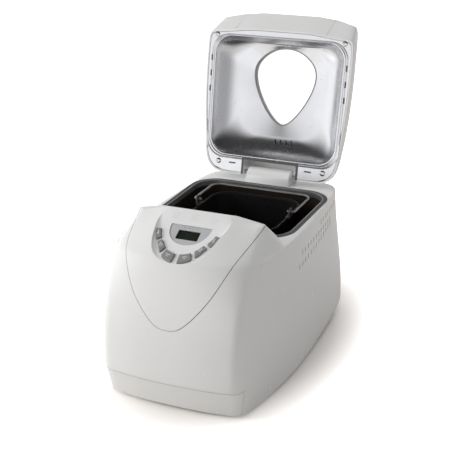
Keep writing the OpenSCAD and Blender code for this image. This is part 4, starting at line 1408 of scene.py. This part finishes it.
@dataclass
class Lid:
    """The lid, drawn closed and turned open about its hinge line."""

    opened: float = 104.0
    hinge_y: float = HINGE_Y
    hinge_z: float = HINGE_Z
    plate: float = 197.2
    crest: float = 236.0
    crown: float = 4.4
    crown_y: float = 24.0
    wall: float = 2.4
    depth: float = 29.0
    bowl: float = 0.89
    lean: float = 0.92
    slope: float = 31.0
    liner: float = 1.1
    bead_middles: tuple[float, float] = (-4.6, -1.9)
    bead_half: float = 1.1
    bead_height: float = 0.8
    recess_steps: int = 16
    side_steps: int = 12
    pane: float = 3.0
    outer_pane: float = 2.4
    window_x: float = 2.0
    notch_y: float = 168.0
    notch_size: tuple[float, float] = (82.0, 46.8)
    notch_wall: float = 2.4
    window_gap: float = 1.4
    pin_hole: float = 3.2
    pin_half: float = 52.0
    screws: tuple[tuple[float, float], ...] = ((98.5, 196.5), (82.2, 11.8))
    side_slots: tuple[float, ...] = (162.6, 140.1, 117.7)
    side_slot_x: float = 104.4
    side_slot: tuple[float, float] = (2.5, 9.4)
    rear_slot_place: tuple[float, float] = (59.6, 11.2)
    rear_slot: tuple[float, float] = (2.2, 11.4)
    bore_radius: float = 1.8
    stroke: tuple[float, float] = (1.8, 8.0)
    stroke_turn: float = -20.0
    stroke_from: tuple[float, float] = (-3.0, 115.0)
    stroke_pitch: float = 8.4
    stroke_count: int = 4
    screw_arm: tuple[float, ...] = (5.0, 1.2, 0.4)
    screw_spin: tuple[float, float] = (18.0, 31.0)
    line_x: float = 70.0
    line_half: float = 0.5
    line_span: tuple[float, float] = (-90.0, -20.0)
    line_rise: float = 1.2
    line_depth: float = 0.7
    recess_half: tuple[float, float] = (97.5, 99.5)
    recess_radius: float = 26.0
    recess_rear: float = 139.0
    recess_front: float = -34.5
    # Painted shade in the vent slots: dark sheets as (grow, low, high) under the liner's face.
    slot_shade_span: tuple[float, ...] = (-0.03, 1.1, 1.7)
    # Painted shade round the hinge notch: a dark strip, cut back behind the hinge.
    notch_shade_back: float = 3.4
    notch_shade_hole: float = 0.2
    notch_shade_edge: tuple[float, float] = (3.3, 1.6)
    notch_shade_span: tuple[float, float] = (-0.3, 0.4)
    web: tuple[float, ...] = (82.6, 12.2, 0.6)
    web_y: float = 150.3
    web_low: float = 218.4
    web_top: float = 220.2

    @property
    def pose(self) -> Matrix:
        """Turn from the closed to the open lid, in plan millimetres."""
        pivot = Matrix.Translation((0, self.hinge_y, self.hinge_z))
        return pivot @ Matrix.Rotation(math.radians(-self.opened), 4, "X") @ pivot.inverted()

    def give(self, obj: Piece, finish: Look | FrameFinish, slot: str, *replaces: str) -> None:
        """Hands over a piece of the lid, turned open."""
        hand_over(obj, finish, "lid", replaces, self.pose)

    @staticmethod
    def side(y: float) -> float:
        """Half width of the lid at a distance from the front."""
        return mix(108, 95, unit((y - 20) / 150) ** 1.7)

    def outline(self, u: Array, inset: float) -> Array:
        """Half outlines of the lid's wall.

        Near its top the wall draws in on all sides. The points of the rear and the front
        stay inside the corners, so that the outline never folds.

        Args:
            u: climbs (r,) from the rim at 0 to the top of the wall at 1.
            inset: how far the outline is drawn in.

        Returns:
            (r, 15, 2) control points.
        """
        w, half = inset, self.side
        f = mix(-46.5, -70.2, u) + w
        s = mix(3.8, -3, u**1.5) - 24 * unit((u - 0.8) / 0.2) - w
        r = self.hinge_y + 4 - w - 30 * unit((u - 0.3) / 0.7) ** 2
        c = 20 * u**3
        e = mix(6, 3, u)
        corner = half(150) + s - 12
        front_x = 72 + s * 0.6
        return half_outlines([
            (np.minimum(20, corner * 0.25), r), (np.minimum(44, corner * 0.55), r),
            (np.minimum(70, corner * 0.82), r - c * 0.6), (corner, r - 2 - c),
            (half(140) + s, r - 18 - c), (half(110) + s, 108), (half(70) + s, 70),
            (half(30) + s, 30), (half(0) + s, -4), (108 + s, f + 26), (107 + s, f + 10),
            (101 + s * 0.9, f + e), (front_x, f + e * 0.6), (np.minimum(50, front_x - 9), f),
            (np.minimum(20, front_x - 28), f),
        ])

    def dome(self, inset: float) -> Array:
        """Rings of the lid's outer form: its wall, then a crown that closes over it.

        On the crown the last outline shrinks by a share s, and rises by C (1 - s^4).

        Args:
            inset: how far the form is drawn in; above 0 it also reaches below the rim.

        Returns:
            (r, n, 3) rings.
        """
        drop = inset * 1.1
        u = np.concatenate([np.linspace(0, 0.8, 22), np.linspace(0.82, 1, 12)])
        half = self.outline(u, inset)
        z = self.plate + u * (self.crest - self.plate) - drop * u
        s = np.linspace(0.97, 0.06, 22)
        x, y = half[-1].T[:, None, :]
        middle = self.crown_y
        crown = np.stack([x * s[:, None], middle + (y - middle) * s[:, None] ** 0.8], -1)
        half = np.concatenate([half, crown])
        z = np.concatenate([z, self.crest + self.crown * (1 - s**4) - drop])
        if inset > 0:
            half = np.concatenate([half[:1], half])
            z = np.concatenate([[self.plate - 2], z])
        return raised(closed_spline(mirror_half(half), 8), z)

    def window(self, grow: float) -> Array:
        """Window outline: a rounded triangle that points to the hinge."""
        ring = closed_spline(mirror_half(WINDOW_HALF), 12)[::-1]
        return grown(ring, grow) + np.array([self.window_x, 0])

    def notch(self, grow: float, corner: float = 1.2) -> Array:
        """Outline of the hinge notch at the rear, grown evenly."""
        wide, long = self.notch_size
        return rounded_rectangle(wide + 2 * grow, long + 2 * grow, corner, 3, (0, self.notch_y))

    def notch_block(self, grow: float, low: float, high: float) -> Piece:
        """Block of the hinge notch between two heights above the rim."""
        return prisms(self.notch(grow), self.plate + low, self.plate + high)

    def shell(self) -> None:
        """White shell with its rim, hinge notch and window hole, and two fine lines in front."""
        shell = loft("lid_outer", self.dome(0.0))
        core = loft("core", self.dome(self.wall))
        carve(core, [self.notch_block(self.notch_wall, -8, 70)])
        spots = [(x, 0, self.plate + self.line_rise) for x in (-self.line_x, self.line_x)]
        lines = prisms(band(self.line_half, *self.line_span), 0, 60, FLAT, spots)
        carve(lines, [loft("skin", self.dome(self.line_depth))])
        hole = prisms(self.window(self.window_gap), self.plate - 3, self.plate + 77)
        pin = prisms(circle(self.pin_hole, 24), -self.pin_half, self.pin_half, FACING_RIGHT,
                     [(0, self.hinge_y, self.hinge_z)])
        carve(shell, [core, self.notch_block(0.0, -4, 56), lines, hole, pin])
        self.give(shell, WHITE_SHELL, "white_plastic", "lid_shell")

    def recess(self, g: Array, z: Array) -> Array:
        """Rings of the liner's recess: a rectangle with round corners.

        Its rear end is narrower, its front wall is steep and the others lean in. Between the
        arcs of the corners the straight sides have points at even steps.

        Args:
            g: insets (r,) from the recess's edge.
            z: their heights (r,).

        Returns:
            (r, n, 3) rings.
        """
        g = g[:, None, None]
        angle = (np.arange(4) * QUARTER)[:, None] + np.linspace(0, QUARTER, self.recess_steps)
        sx = np.array([1, -1, -1, 1])[:, None]
        sy = np.array([1, 1, -1, -1])[:, None]
        half = np.where(sy > 0, *self.recess_half) - g * 1.1
        radius = self.recess_radius + np.maximum(0, g) * 0.3
        rear, front = self.recess_rear - g - radius, self.recess_front + g * 0.33 + radius
        x = sx * (half - radius) + radius * np.cos(angle)
        y = np.where(sy > 0, rear, front) + radius * np.sin(angle)
        corners = np.stack([x, y], -1)
        start, end = corners[:, :, -1:], np.roll(corners, -1, 1)[:, :, :1]
        t = np.linspace(0, 1, self.side_steps)[1:-1][:, None]
        rings = np.concatenate([corners, start + (end - start) * t], 2)
        return raised(rings.reshape(len(g), -1, 2), z)

    @staticmethod
    def by_angle(outline: Array, like: Array, centre: tuple[float, float]) -> Array:
        """Samples an outline at the same bearings as another ring has.

        Args:
            outline: (n, 2) closed outline.
            like: (m, 3) ring whose bearings are taken.
            centre: where the bearings are taken from.

        Returns:
            (m, 2) points of the outline.
        """
        bearings = [np.arctan2(p[:, 1] - centre[1], p[:, 0] - centre[0]) for p in (outline, like)]
        order = np.argsort(bearings[0])
        a = bearings[0][order]
        keys = np.concatenate([a - 2 * math.pi, a, a + 2 * math.pi])
        values = np.tile(outline[order], (3, 1))
        return np.stack([np.interp(bearings[1], keys, values[:, i]) for i in range(2)], -1)

    def lining_rings(self) -> Array:
        """Rings of the liner from its outer edge to the edge of the window.

        The recess's depth at inset g is B D (1 - (1 - k g/G)^2)^0.75 over its value at g = G,
        a bowl that starts steep and flattens. From there it sinks evenly to D at the window.
        The two beads round it are cosine bumps.

        Returns:
            (r, n, 3) rings.
        """
        face = self.plate + 0.6
        g_bead = np.linspace(-6.0, -0.7, 26)
        bump = np.zeros_like(g_bead)
        for middle in self.bead_middles:
            away = g_bead - middle
            rise = self.bead_height / 2 * (1 + np.cos(math.pi * away / self.bead_half))
            bump = np.where(np.abs(away) < self.bead_half, rise, bump)
        share = np.linspace(0, 1, 44)[1:] ** 1.5
        bend = (1 - (1 - self.lean * share) ** 2) / (1 - (1 - self.lean) ** 2)
        drop = self.depth * self.bowl * bend**0.75
        rings = self.recess(np.concatenate([g_bead, self.slope * share]),
                            np.concatenate([face - bump, self.plate + drop]))
        edge = closed_spline(mirror_half(self.outline(np.array([0.0]), 2.9)), 10)
        outer = raised(self.by_angle(edge[0], rings[0], (0, 52))[None], np.array([face]))
        hole = self.by_angle(self.window(0.0), rings[-1], (self.window_x, 30))
        inner = raised(hole[None], np.array([self.plate + self.depth]))
        plate = mix(outer, rings[:1], np.array([0.0, 0.3, 0.6, 0.85])[:, None, None])
        ceiling = mix(rings[-1:], inner, np.linspace(0, 1, 14)[1:, None, None])
        return np.concatenate([plate, rings, ceiling])

    def lining(self) -> None:
        """Silver liner: flat plate, double bead, deep recess, vent slots and vent strokes."""
        piece = loft("lid_lining", self.lining_rings(), Ends.OPEN)
        self.thicken_away(piece)
        x, y = self.stroke_from
        strokes = [(x + i * self.stroke_pitch, y, self.plate + 18)
                   for i in range(self.stroke_count)]
        stroke = turned(capsule(*self.stroke), self.stroke_turn)
        carve(piece, [
            prisms(self.notch(2.2), self.plate - 5, self.plate + 9),
            *self.slots(0.0, -6, 6),
            prisms(stroke, -16, 16, FLAT, strokes),
            prisms(circle(self.bore_radius, 20), -6, 6, FLAT, self.screw_places())])
        self.give(piece, LINER_PAINT, "liner_silver", "lid_liner")

    def screw_places(self) -> list[Point]:
        """Where the four screws go through the liner."""
        return [(x * p, self.hinge_y - v, self.plate) for p, v in self.screws for x in (-1, 1)]

    def slots(self, grow: float, low: float, high: float) -> list[Piece]:
        """Prisms of the vent slots: three along each side and one each side of the notch.

        Args:
            grow: how far their outlines are grown.
            low: where they start above the rim.
            high: where they end.

        Returns:
            The side slots and the rear slots.
        """
        sides = [(x * self.side_slot_x, self.hinge_y - v, self.plate)
                 for v in self.side_slots for x in (-1, 1)]
        rear_x, rear_v = self.rear_slot_place
        rear = [(x * rear_x, self.hinge_y - rear_v, self.plate) for x in (-1, 1)]
        along, across = (capsule(*(size + 2 * grow for size in slot))
                         for slot in (self.side_slot, self.rear_slot))
        return [prisms(along, low, high, FLAT, sides),
                prisms(turned(across, 90), low, high, FLAT, rear)]

    def painted_shades(self) -> None:
        """Dark sheets in the vent slots and round the hinge notch as painted shade, and a hinge
        web.

        The web is a plate across the notch, high enough over the hinge block to swing clear.
        """
        # Painted shade: dark sheets fill the vent slots, where the holes would only show shadow.
        dark = self.slots(*self.slot_shade_span)
        beyond = band(60, self.hinge_y + self.notch_shade_back, 230)
        low, high = (self.plate + rise for rise in self.notch_shade_span)
        # Painted shade: a dark strip round the hinge notch, where the gap's shadow falls.
        notch_shade = prisms(self.notch(*self.notch_shade_edge), low, high)
        carve(notch_shade, [prisms(self.notch(self.notch_shade_hole), 180, 230), prisms(beyond, 180, 230)])
        self.give(join("lid_painted_shade", [*dark, notch_shade]), GASKET_AND_SHADE, "gasket_rubber")
        web = rounded_rectangle(*self.web, 3, (0, self.web_y))
        self.give(prisms(web, self.web_low, self.web_top, name="lid_hinge_web"), WHITE_SHELL,
                  "white_plastic")

    def thicken_away(self, piece: Piece) -> None:
        """Gives the sheet its thickness on the side away from the loaf.

        Args:
            piece: the sheet, drawn closed.
        """
        up = sum(p.normal.z * p.area for p in piece.data.polygons)
        wall = piece.modifiers.new("wall", "SOLIDIFY")
        wall.thickness = self.liner
        wall.offset = 1.0 if up > 0 else -1.0
        settle_modifiers(piece)

    def windows(self) -> None:
        """Grey seal, pale sleeve, inner pane and outer pane of the window.

        Seal and sleeve are closed profiles of (grow, height) carried round the window.
        """
        ceiling, over = self.plate + self.depth, self.plate + self.depth + self.liner
        low = over + 0.8
        seal = [(-0.7, ceiling - 0.5), (-0.5, ceiling - 0.8), (0.7, ceiling - 0.8),
                (1.0, ceiling - 0.4), (1.0, ceiling - CLEAR), (-0.12, ceiling - CLEAR),
                (-0.12, over + 0.05), (1.1, over + 0.05), (1.1, low - CLEAR),
                (-0.7, low - CLEAR)]
        self.give(loft("window_gasket", carried(self.window, seal), Ends.JOINED),
                  SEAL_GREY, "gasket_rubber", "window_seal")
        top = self.crest - CLEAR
        sleeve = [(-1.2, low + CLEAR), (1.2, low + CLEAR), (1.2, top), (-0.5, top),
                  (-0.5, low + 1), (-1.2, low + 1)]
        self.give(loft("window_sleeve", carried(self.window, sleeve), Ends.JOINED),
                  SLEEVE_WHITE, "white_plastic", "window_frame")
        for name, node, grow, base, thick in (
                ("window_inner_pane", "window_glass", -0.65, low + 1.02, self.pane - 0.04),
                ("window_outer_pane", "outer_window", 1.05, self.crest + CLEAR, self.outer_pane)):
            rounded = [(grow + g, base + share * thick)
                       for g, share in ((-0.5, 0.0), (0.0, 0.25), (0.0, 0.75), (-0.5, 1.0))]
            self.give(loft(name, carried(self.window, rounded)), PANE, "window_clear", node)

    def fasteners(self) -> None:
        """Four countersunk cross-head screws: a low dome with a cross pressed in."""
        heads = []
        arm = rounded_rectangle(*self.screw_arm, 2)
        for x, y, z in self.screw_places():
            head = lathe("head", SCREW_PROFILE, (x, y, z), 28)
            spin = self.screw_spin[0] + math.copysign(self.screw_spin[1], x) + self.hinge_y - y
            carve(head, [prisms(turned(arm, spin + quarter), -2.0, 0.1, FLAT, [(x, y, z)])
                         for quarter in (0, 90)])
            heads.append(head)
        self.give(join("lid_fasteners", heads), SCREW_STEEL, "screw_steel", "lid_screws")

    def build(self) -> None:
        """Builds every piece of the lid."""
        self.shell()
        self.lining()
        self.painted_shades()
        self.windows()
        self.fasteners()


BLOCK_SIDE = np.array([[146, 0], [146, 0], [147.5, 9], [152, 16], [160, 19.4], [167, 18.8],
                       [173, 14], [178, 4], [179, 0], [179, 0]], float)


@dataclass
class HingeBlock:
    """White block on the rear deck that carries the hinge pin."""

    half_width: float = 34.0
    base: float = DECK_Z + 0.05
    middle_y: float = 162.5
    half_depth: float = 14.0
    pin_radius: float = 2.52

    def build(self) -> None:
        """Extrudes the block's side profile across the machine and rounds its edges."""
        outline = closed_spline(BLOCK_SIDE, 5)
        outline[:, 1] = np.maximum(outline[:, 1], 0) + self.base
        end = np.array([0.0, 0.5, 1.3])
        inset = np.array([1.3, 0.45, 0.0])
        x = np.concatenate([end - self.half_width, self.half_width - end[::-1]])
        scale = 1 - np.concatenate([inset, inset[::-1]])[:, None, None] / self.half_depth
        middle = np.array([self.middle_y, self.base])
        piece = loft("hinge_cover",
                     FACING_RIGHT.points(middle + (outline - middle) * scale, x[:, None]))
        carve(piece, [prisms(circle(self.pin_radius, 32), -60, 60, FACING_RIGHT,
                             [(0, HINGE_Y, HINGE_Z)])])
        hand_over(piece, WHITE_SHELL, "housing", ["hinge_block"])


EAR_Y = (-7, -7, -7, -4.5, 0, 4.5, 7, 7, 7)
EAR_Z = (-0.2, -0.2, 8, 12, 13.2, 12, 8, -0.2, -0.2)


@dataclass
class Pan:
    """Lift-out bread pan with its bail and ears."""

    width: float = 138.0
    length: float = 126.0
    rim: float = 5.0
    corner: float = 26.0
    top: float = 187.0
    bottom: float = 65.0
    wall: float = 1.6
    middle_y: float = PAN_Y
    hub_radius: float = 5.6
    bail_d: float = 3.2
    bail_half: float = 76.0
    bail_reach: float = 66.0
    bail_z: float = 194.5
    bail_corner: float = 14.0
    bail_foot: float = 2.6
    stub_inside: float = 3.4
    ear_gap: float = 1.6
    ear_half: float = 0.9
    tab: tuple[float, ...] = (5.9, 14.0, 0.8)
    tab_shift: float = 2.05
    tab_height: float = 1.4

    def outline(self, grow: float) -> Array:
        """Outline of the pan.

        Args:
            grow: how far it is grown from that of the straight wall.

        Returns:
            (n, 2) outline, counter-clockwise.
        """
        return rounded_rectangle(
            self.width - self.rim + 2 * grow, self.length - self.rim + 2 * grow,
            max(10.0, self.corner + grow * 0.8), 12, (0, self.middle_y))

    def vessel(self) -> None:
        """Pan as one closed skin: outside from the floor up, the rolled rim, and down inside."""
        t, b, w = self.top, self.bottom, self.wall
        pan = loft("pan_vessel", carried(self.outline, [
            (-40, b), (-9.5, b), (-7.6, b + 0.6), (-5.2, b + 3.4), (-3.2, b + 8), (0, t - 3.2),
            (0.2, t - 1.9), (2.2, t - 1.7), (2.5, t - 1.2), (2.3, t - 0.3), (1.6, t),
            (0.4, t - 0.1), (-w + 0.4, t - 0.9), (-w, t - 2.2), (-3.0 - w, b + 9),
            (-4.6 - w, b + 5), (-7.4 - w, b + 2.3), (-9.8 - w, b + w), (-40, b + w)]))
        carve(pan, [prisms(circle(self.hub_radius, 32), -8, 12, FLAT,
                           [(0, self.middle_y, b)])])
        hand_over(pan, PAN_COAT, "pan", ["bread_pan"])

    def bail(self) -> None:
        """Bail wire: pivot stubs turned in, arms, and a cross bar joined by quarter bends."""
        half, reach, c, small = self.bail_half, self.bail_reach, self.bail_corner, self.bail_foot
        a, b = np.linspace(0, QUARTER, 12), np.linspace(0, QUARTER, 7)
        stub = np.linspace(self.width / 2 - self.stub_inside, half - small, 5)[:-1]
        arm = np.linspace(small, reach - c, 14)[1:-1]
        bar = np.linspace(half - c, c - half, 24)[1:-1]
        right = np.concatenate([np.stack(np.broadcast_arrays(x, y), -1) for x, y in (
            (stub, 0.0), (half - small + small * np.sin(b), small * (1 - np.cos(b))), (half, arm),
            (half - c + c * np.cos(a), reach - c + c * np.sin(a)))])
        cross = np.stack(np.broadcast_arrays(bar, reach), -1)
        flat = np.concatenate([right, cross, right[::-1] * np.array([-1, 1])])
        path = FLAT.points(flat + np.array([0, self.middle_y]), self.bail_z)
        hand_over(tube("pan_bail", path, self.bail_d / 2), BRIGHT_STEEL, "bail",
                  ["bail_handle"])

    def ears(self) -> None:
        """Two bent sheet ears that carry the bail, with rounded tops."""
        pair = []
        face = closed_spline(np.stack([np.array(EAR_Y), np.array(EAR_Z) + self.top], -1), 4)
        face[:, 1] = np.maximum(face[:, 1], self.top - 0.2)
        for side in (-1, 1):
            x = side * (self.width / 2 + self.ear_gap)
            tab = rounded_rectangle(*self.tab, 3, (x - side * self.tab_shift, self.middle_y))
            ear = prisms(face, -self.ear_half, self.ear_half, FACING_RIGHT,
                         [(x, self.middle_y, 0)])
            carve(ear, [prisms(tab, self.top, self.top + self.tab_height)], Cut.ADD)
            carve(ear, [prisms(circle(self.bail_d / 2 + 0.1, 24), -5, 5, FACING_RIGHT,
                               [(x, self.middle_y, self.bail_z)])])
            pair.append(ear)
        hand_over(join("pan_ears_pair", pair), SHEATH, "pan", ["pan_ears"])

    def build(self) -> None:
        """Builds every piece of the pan."""
        self.vessel()
        self.bail()
        self.ears()


FOOT_PROFILE = [(1.5, 0.4), (4.6, 0.4), (5.0, 0.0), (6.1, 0.0), (6.6, 0.5), (6.95, 2.0),
                (7.0, 3.4), (6.8, 3.95), (2.0, 3.95), (2.0, 9.3), (1.0, 9.5)]


@dataclass
class Feet:
    """Four rubber feet with a chamfered tread and a stud into the tray."""

    front: tuple[float, float] = (76.0, -148.0)
    rear: tuple[float, float] = (84.0, 150.0)

    def build(self) -> None:
        """Turns each foot from its profile."""
        feet = [lathe("foot", FOOT_PROFILE, (x * along, y, 0), 36)
                for along, y in (self.front, self.rear) for x in (-1, 1)]
        hand_over(join("tray_feet", feet), FOOT, "housing", ["rubber_feet"])


# ---- studio ----


@dataclass(frozen=True)
class FloorWhite(Look):
    """White floor that keeps the shadow: diffuse under a faint gloss.

    To the camera it is lifted by an even glow, which grows to full white away from the
    machine, so that the floor ends without an edge. Gloss sees little of that glow.
    """

    specular: float = 0.35
    glow_colour: Colour = (1.0, 0.99, 0.98)
    glow_shape: Point = (1.7, 1.0, 1.0)
    glow_reach: tuple[float, float] = (0.19, 0.36)
    glow: tuple[float, float] = (0.03, 1.0)
    mirrored: float = 0.08

    def fill(self, graph: Graph) -> None:
        """Lays out the nodes of the floor.

        Args:
            graph: the material's node tree.
        """
        where = graph.add("TexCoord", "Object")
        narrow = graph.add("Mapping", "Vector", {"Vector": where, "Scale": self.glow_shape})
        away = graph.add("VectorMath", "Value", {0: narrow}, operation="LENGTH")
        glow = graph.ramp(away, self.glow_reach, self.glow, smooth=True)
        mirrored = graph.math(
            "MULTIPLY", graph.add("LightPath", "Is Glossy Ray"), self.mirrored)
        seen = graph.math("MAXIMUM", graph.add("LightPath", "Is Camera Ray"), mirrored)
        graph.close("Principled BSDF", {
            "Base Color": self.shade(1.0), "Roughness": self.roughness,
            "Specular IOR Level": self.specular, "Emission Color": (*self.glow_colour, 1),
            "Emission Strength": graph.math("MULTIPLY", seen, glow)})


STUDIO_WHITE = FloorWhite("studio_white", (0.95, 0.915, 0.88), 0.22)


@dataclass
class Studio:
    """Camera, lamps, white world and floor, in metres of the row frame."""

    azimuth: float = 25.33
    elevation: float = 22.70
    roll: float = -1.65
    focal_pixels: float = 1137.0
    frame_pixels: float = 460.0
    sensor: float = 36.0
    clip: tuple[float, float] = (0.05, 50.0)
    distance: float = 1.556
    target: Point = (0.0019, -0.018, 0.1767)
    world_light: float = 0.44
    gloss_height: tuple[float, float] = (0.12, 0.62)
    gloss_level: tuple[float, float] = (1.3, 0.02)
    right_reach: tuple[float, float] = (0.15, 0.80)
    right_level: tuple[float, float] = (1.0, 0.36)
    floor_half: float = 6.0

    @staticmethod
    def aim(obj: Piece, right: Array, up: Array, back: Array, spot: Sequence[float]) -> None:
        """Places a camera or a lamp, which looks against its third axis.

        Args:
            obj: the object.
            right: its first axis.
            up: its second axis.
            back: its third axis.
            spot: where it stands.
        """
        matrix = np.eye(4)
        matrix[:3] = np.stack([right, up, back, spot], -1)
        obj.matrix_world = Matrix(matrix.tolist())

    def camera(self) -> None:
        """Sets the camera by its bearing, height and roll about the line of sight."""
        a, e, r = (math.radians(v) for v in (self.azimuth, self.elevation, self.roll))
        back = np.array([math.sin(a) * math.cos(e), -math.cos(a) * math.cos(e), math.sin(e)])
        level = np.array([math.cos(a), math.sin(a), 0.0])
        upright = np.cross(back, level)
        data = bpy.data.cameras.new("camera")
        data.sensor_width = self.sensor
        data.lens = self.focal_pixels / self.frame_pixels * self.sensor
        data.clip_start, data.clip_end = self.clip
        obj = linked("camera", data)
        self.aim(obj, level * math.cos(r) + upright * math.sin(r),
                 upright * math.cos(r) - level * math.sin(r), back,
                 np.array(self.target) + back * self.distance)
        bpy.context.scene.camera = obj

    def world(self) -> None:
        """White world: full white to the camera and in glass, softer as light.

        What metal and gloss see of it is bright near the horizon and fades overhead and to
        the right, as in a studio with a white backdrop and its lamps on the left.
        """
        world = bpy.data.worlds.new("studio_world")
        graph = Graph(world)
        where = graph.add("TexCoord", "Generated")
        rise, right = (graph.add("SeparateXYZ", axis, {"Vector": where}) for axis in ("Z", "X"))
        mirrored = graph.math(
            "MULTIPLY", graph.ramp(rise, self.gloss_height, self.gloss_level, smooth=True),
            graph.ramp(right, self.right_reach, self.right_level, smooth=True))
        lit = graph.add("Mix", "Result", {
            "Factor": graph.add("LightPath", "Is Glossy Ray"), "A": self.world_light,
            "B": mirrored})
        seen = graph.math("MAXIMUM", graph.add("LightPath", "Is Camera Ray"),
                          graph.add("LightPath", "Is Transmission Ray"))
        level = graph.add("Mix", "Result", {"Factor": seen, "A": lit, "B": 1.0})
        graph.close("Background", {"Color": (1, 1, 1, 1), "Strength": level})
        bpy.context.scene.world = world

    def floor(self) -> None:
        """Lays the floor."""
        s = self.floor_half
        plane = mesh_object("studio_floor", FLAT.points(band(s, -s, s), 0.0), [[0, 1, 2, 3]])
        plane.data.materials.append(STUDIO_WHITE.material())

    def lamp(self, name: str, spot: Point, target: Point, size: float, power: float) -> None:
        """Adds a square softbox that gloss doesn't see.

        Args:
            name: object name.
            spot: where it hangs.
            target: the point it faces.
            size: length of its sides.
            power: watts.
        """
        data = bpy.data.lights.new(name, "AREA")
        data.shape = "SQUARE"
        data.size = size
        data.energy = power
        obj = linked(name, data)
        back = np.array(spot, float) - np.array(target, float)
        back /= np.linalg.norm(back)
        right = np.cross([0, 0, 1], back)
        right /= np.linalg.norm(right)
        self.aim(obj, right, np.cross(back, right), back, spot)
        obj.visible_glossy = False

    def build(self) -> None:
        """Builds the studio and sets the plain view transform."""
        self.camera()
        self.world()
        self.floor()
        self.lamp("key_left", (-1.93, -0.98, 0.95), (0, -0.05, 0.15), 1.2, 36)
        self.lamp("top_soft", (-0.2, 0.3, 2.2), (0, 0, 0.2), 1.6, 9)
        bpy.context.scene.view_settings.view_transform = "Standard"


def dress_frame(frame: dict) -> None:
    """Gives the CAD nodes the finish that SLOT_FINISH keeps for their record slot.
    """
    for node in frame["nodes"].values():
        for holder in node.material_slots:
            name = holder.material.name.split(".")[0] if holder.material else ""
            if name in SLOT_FINISH:
                holder.material = SLOT_FINISH[name].material()


def main() -> None:
    """Loads the frame, builds every piece on it, then the studio."""
    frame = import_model()
    dress_frame(frame)
    for part in (Case(), Console(), Lid(), HingeBlock(), Oven(), Pan(), Feet()):
        part.build()
        log.info("%s is built", type(part).__name__)
    Studio().build()


if __name__ == "__main__":
    logging.basicConfig(level=logging.INFO, format="%(name)s: %(message)s")
    main()
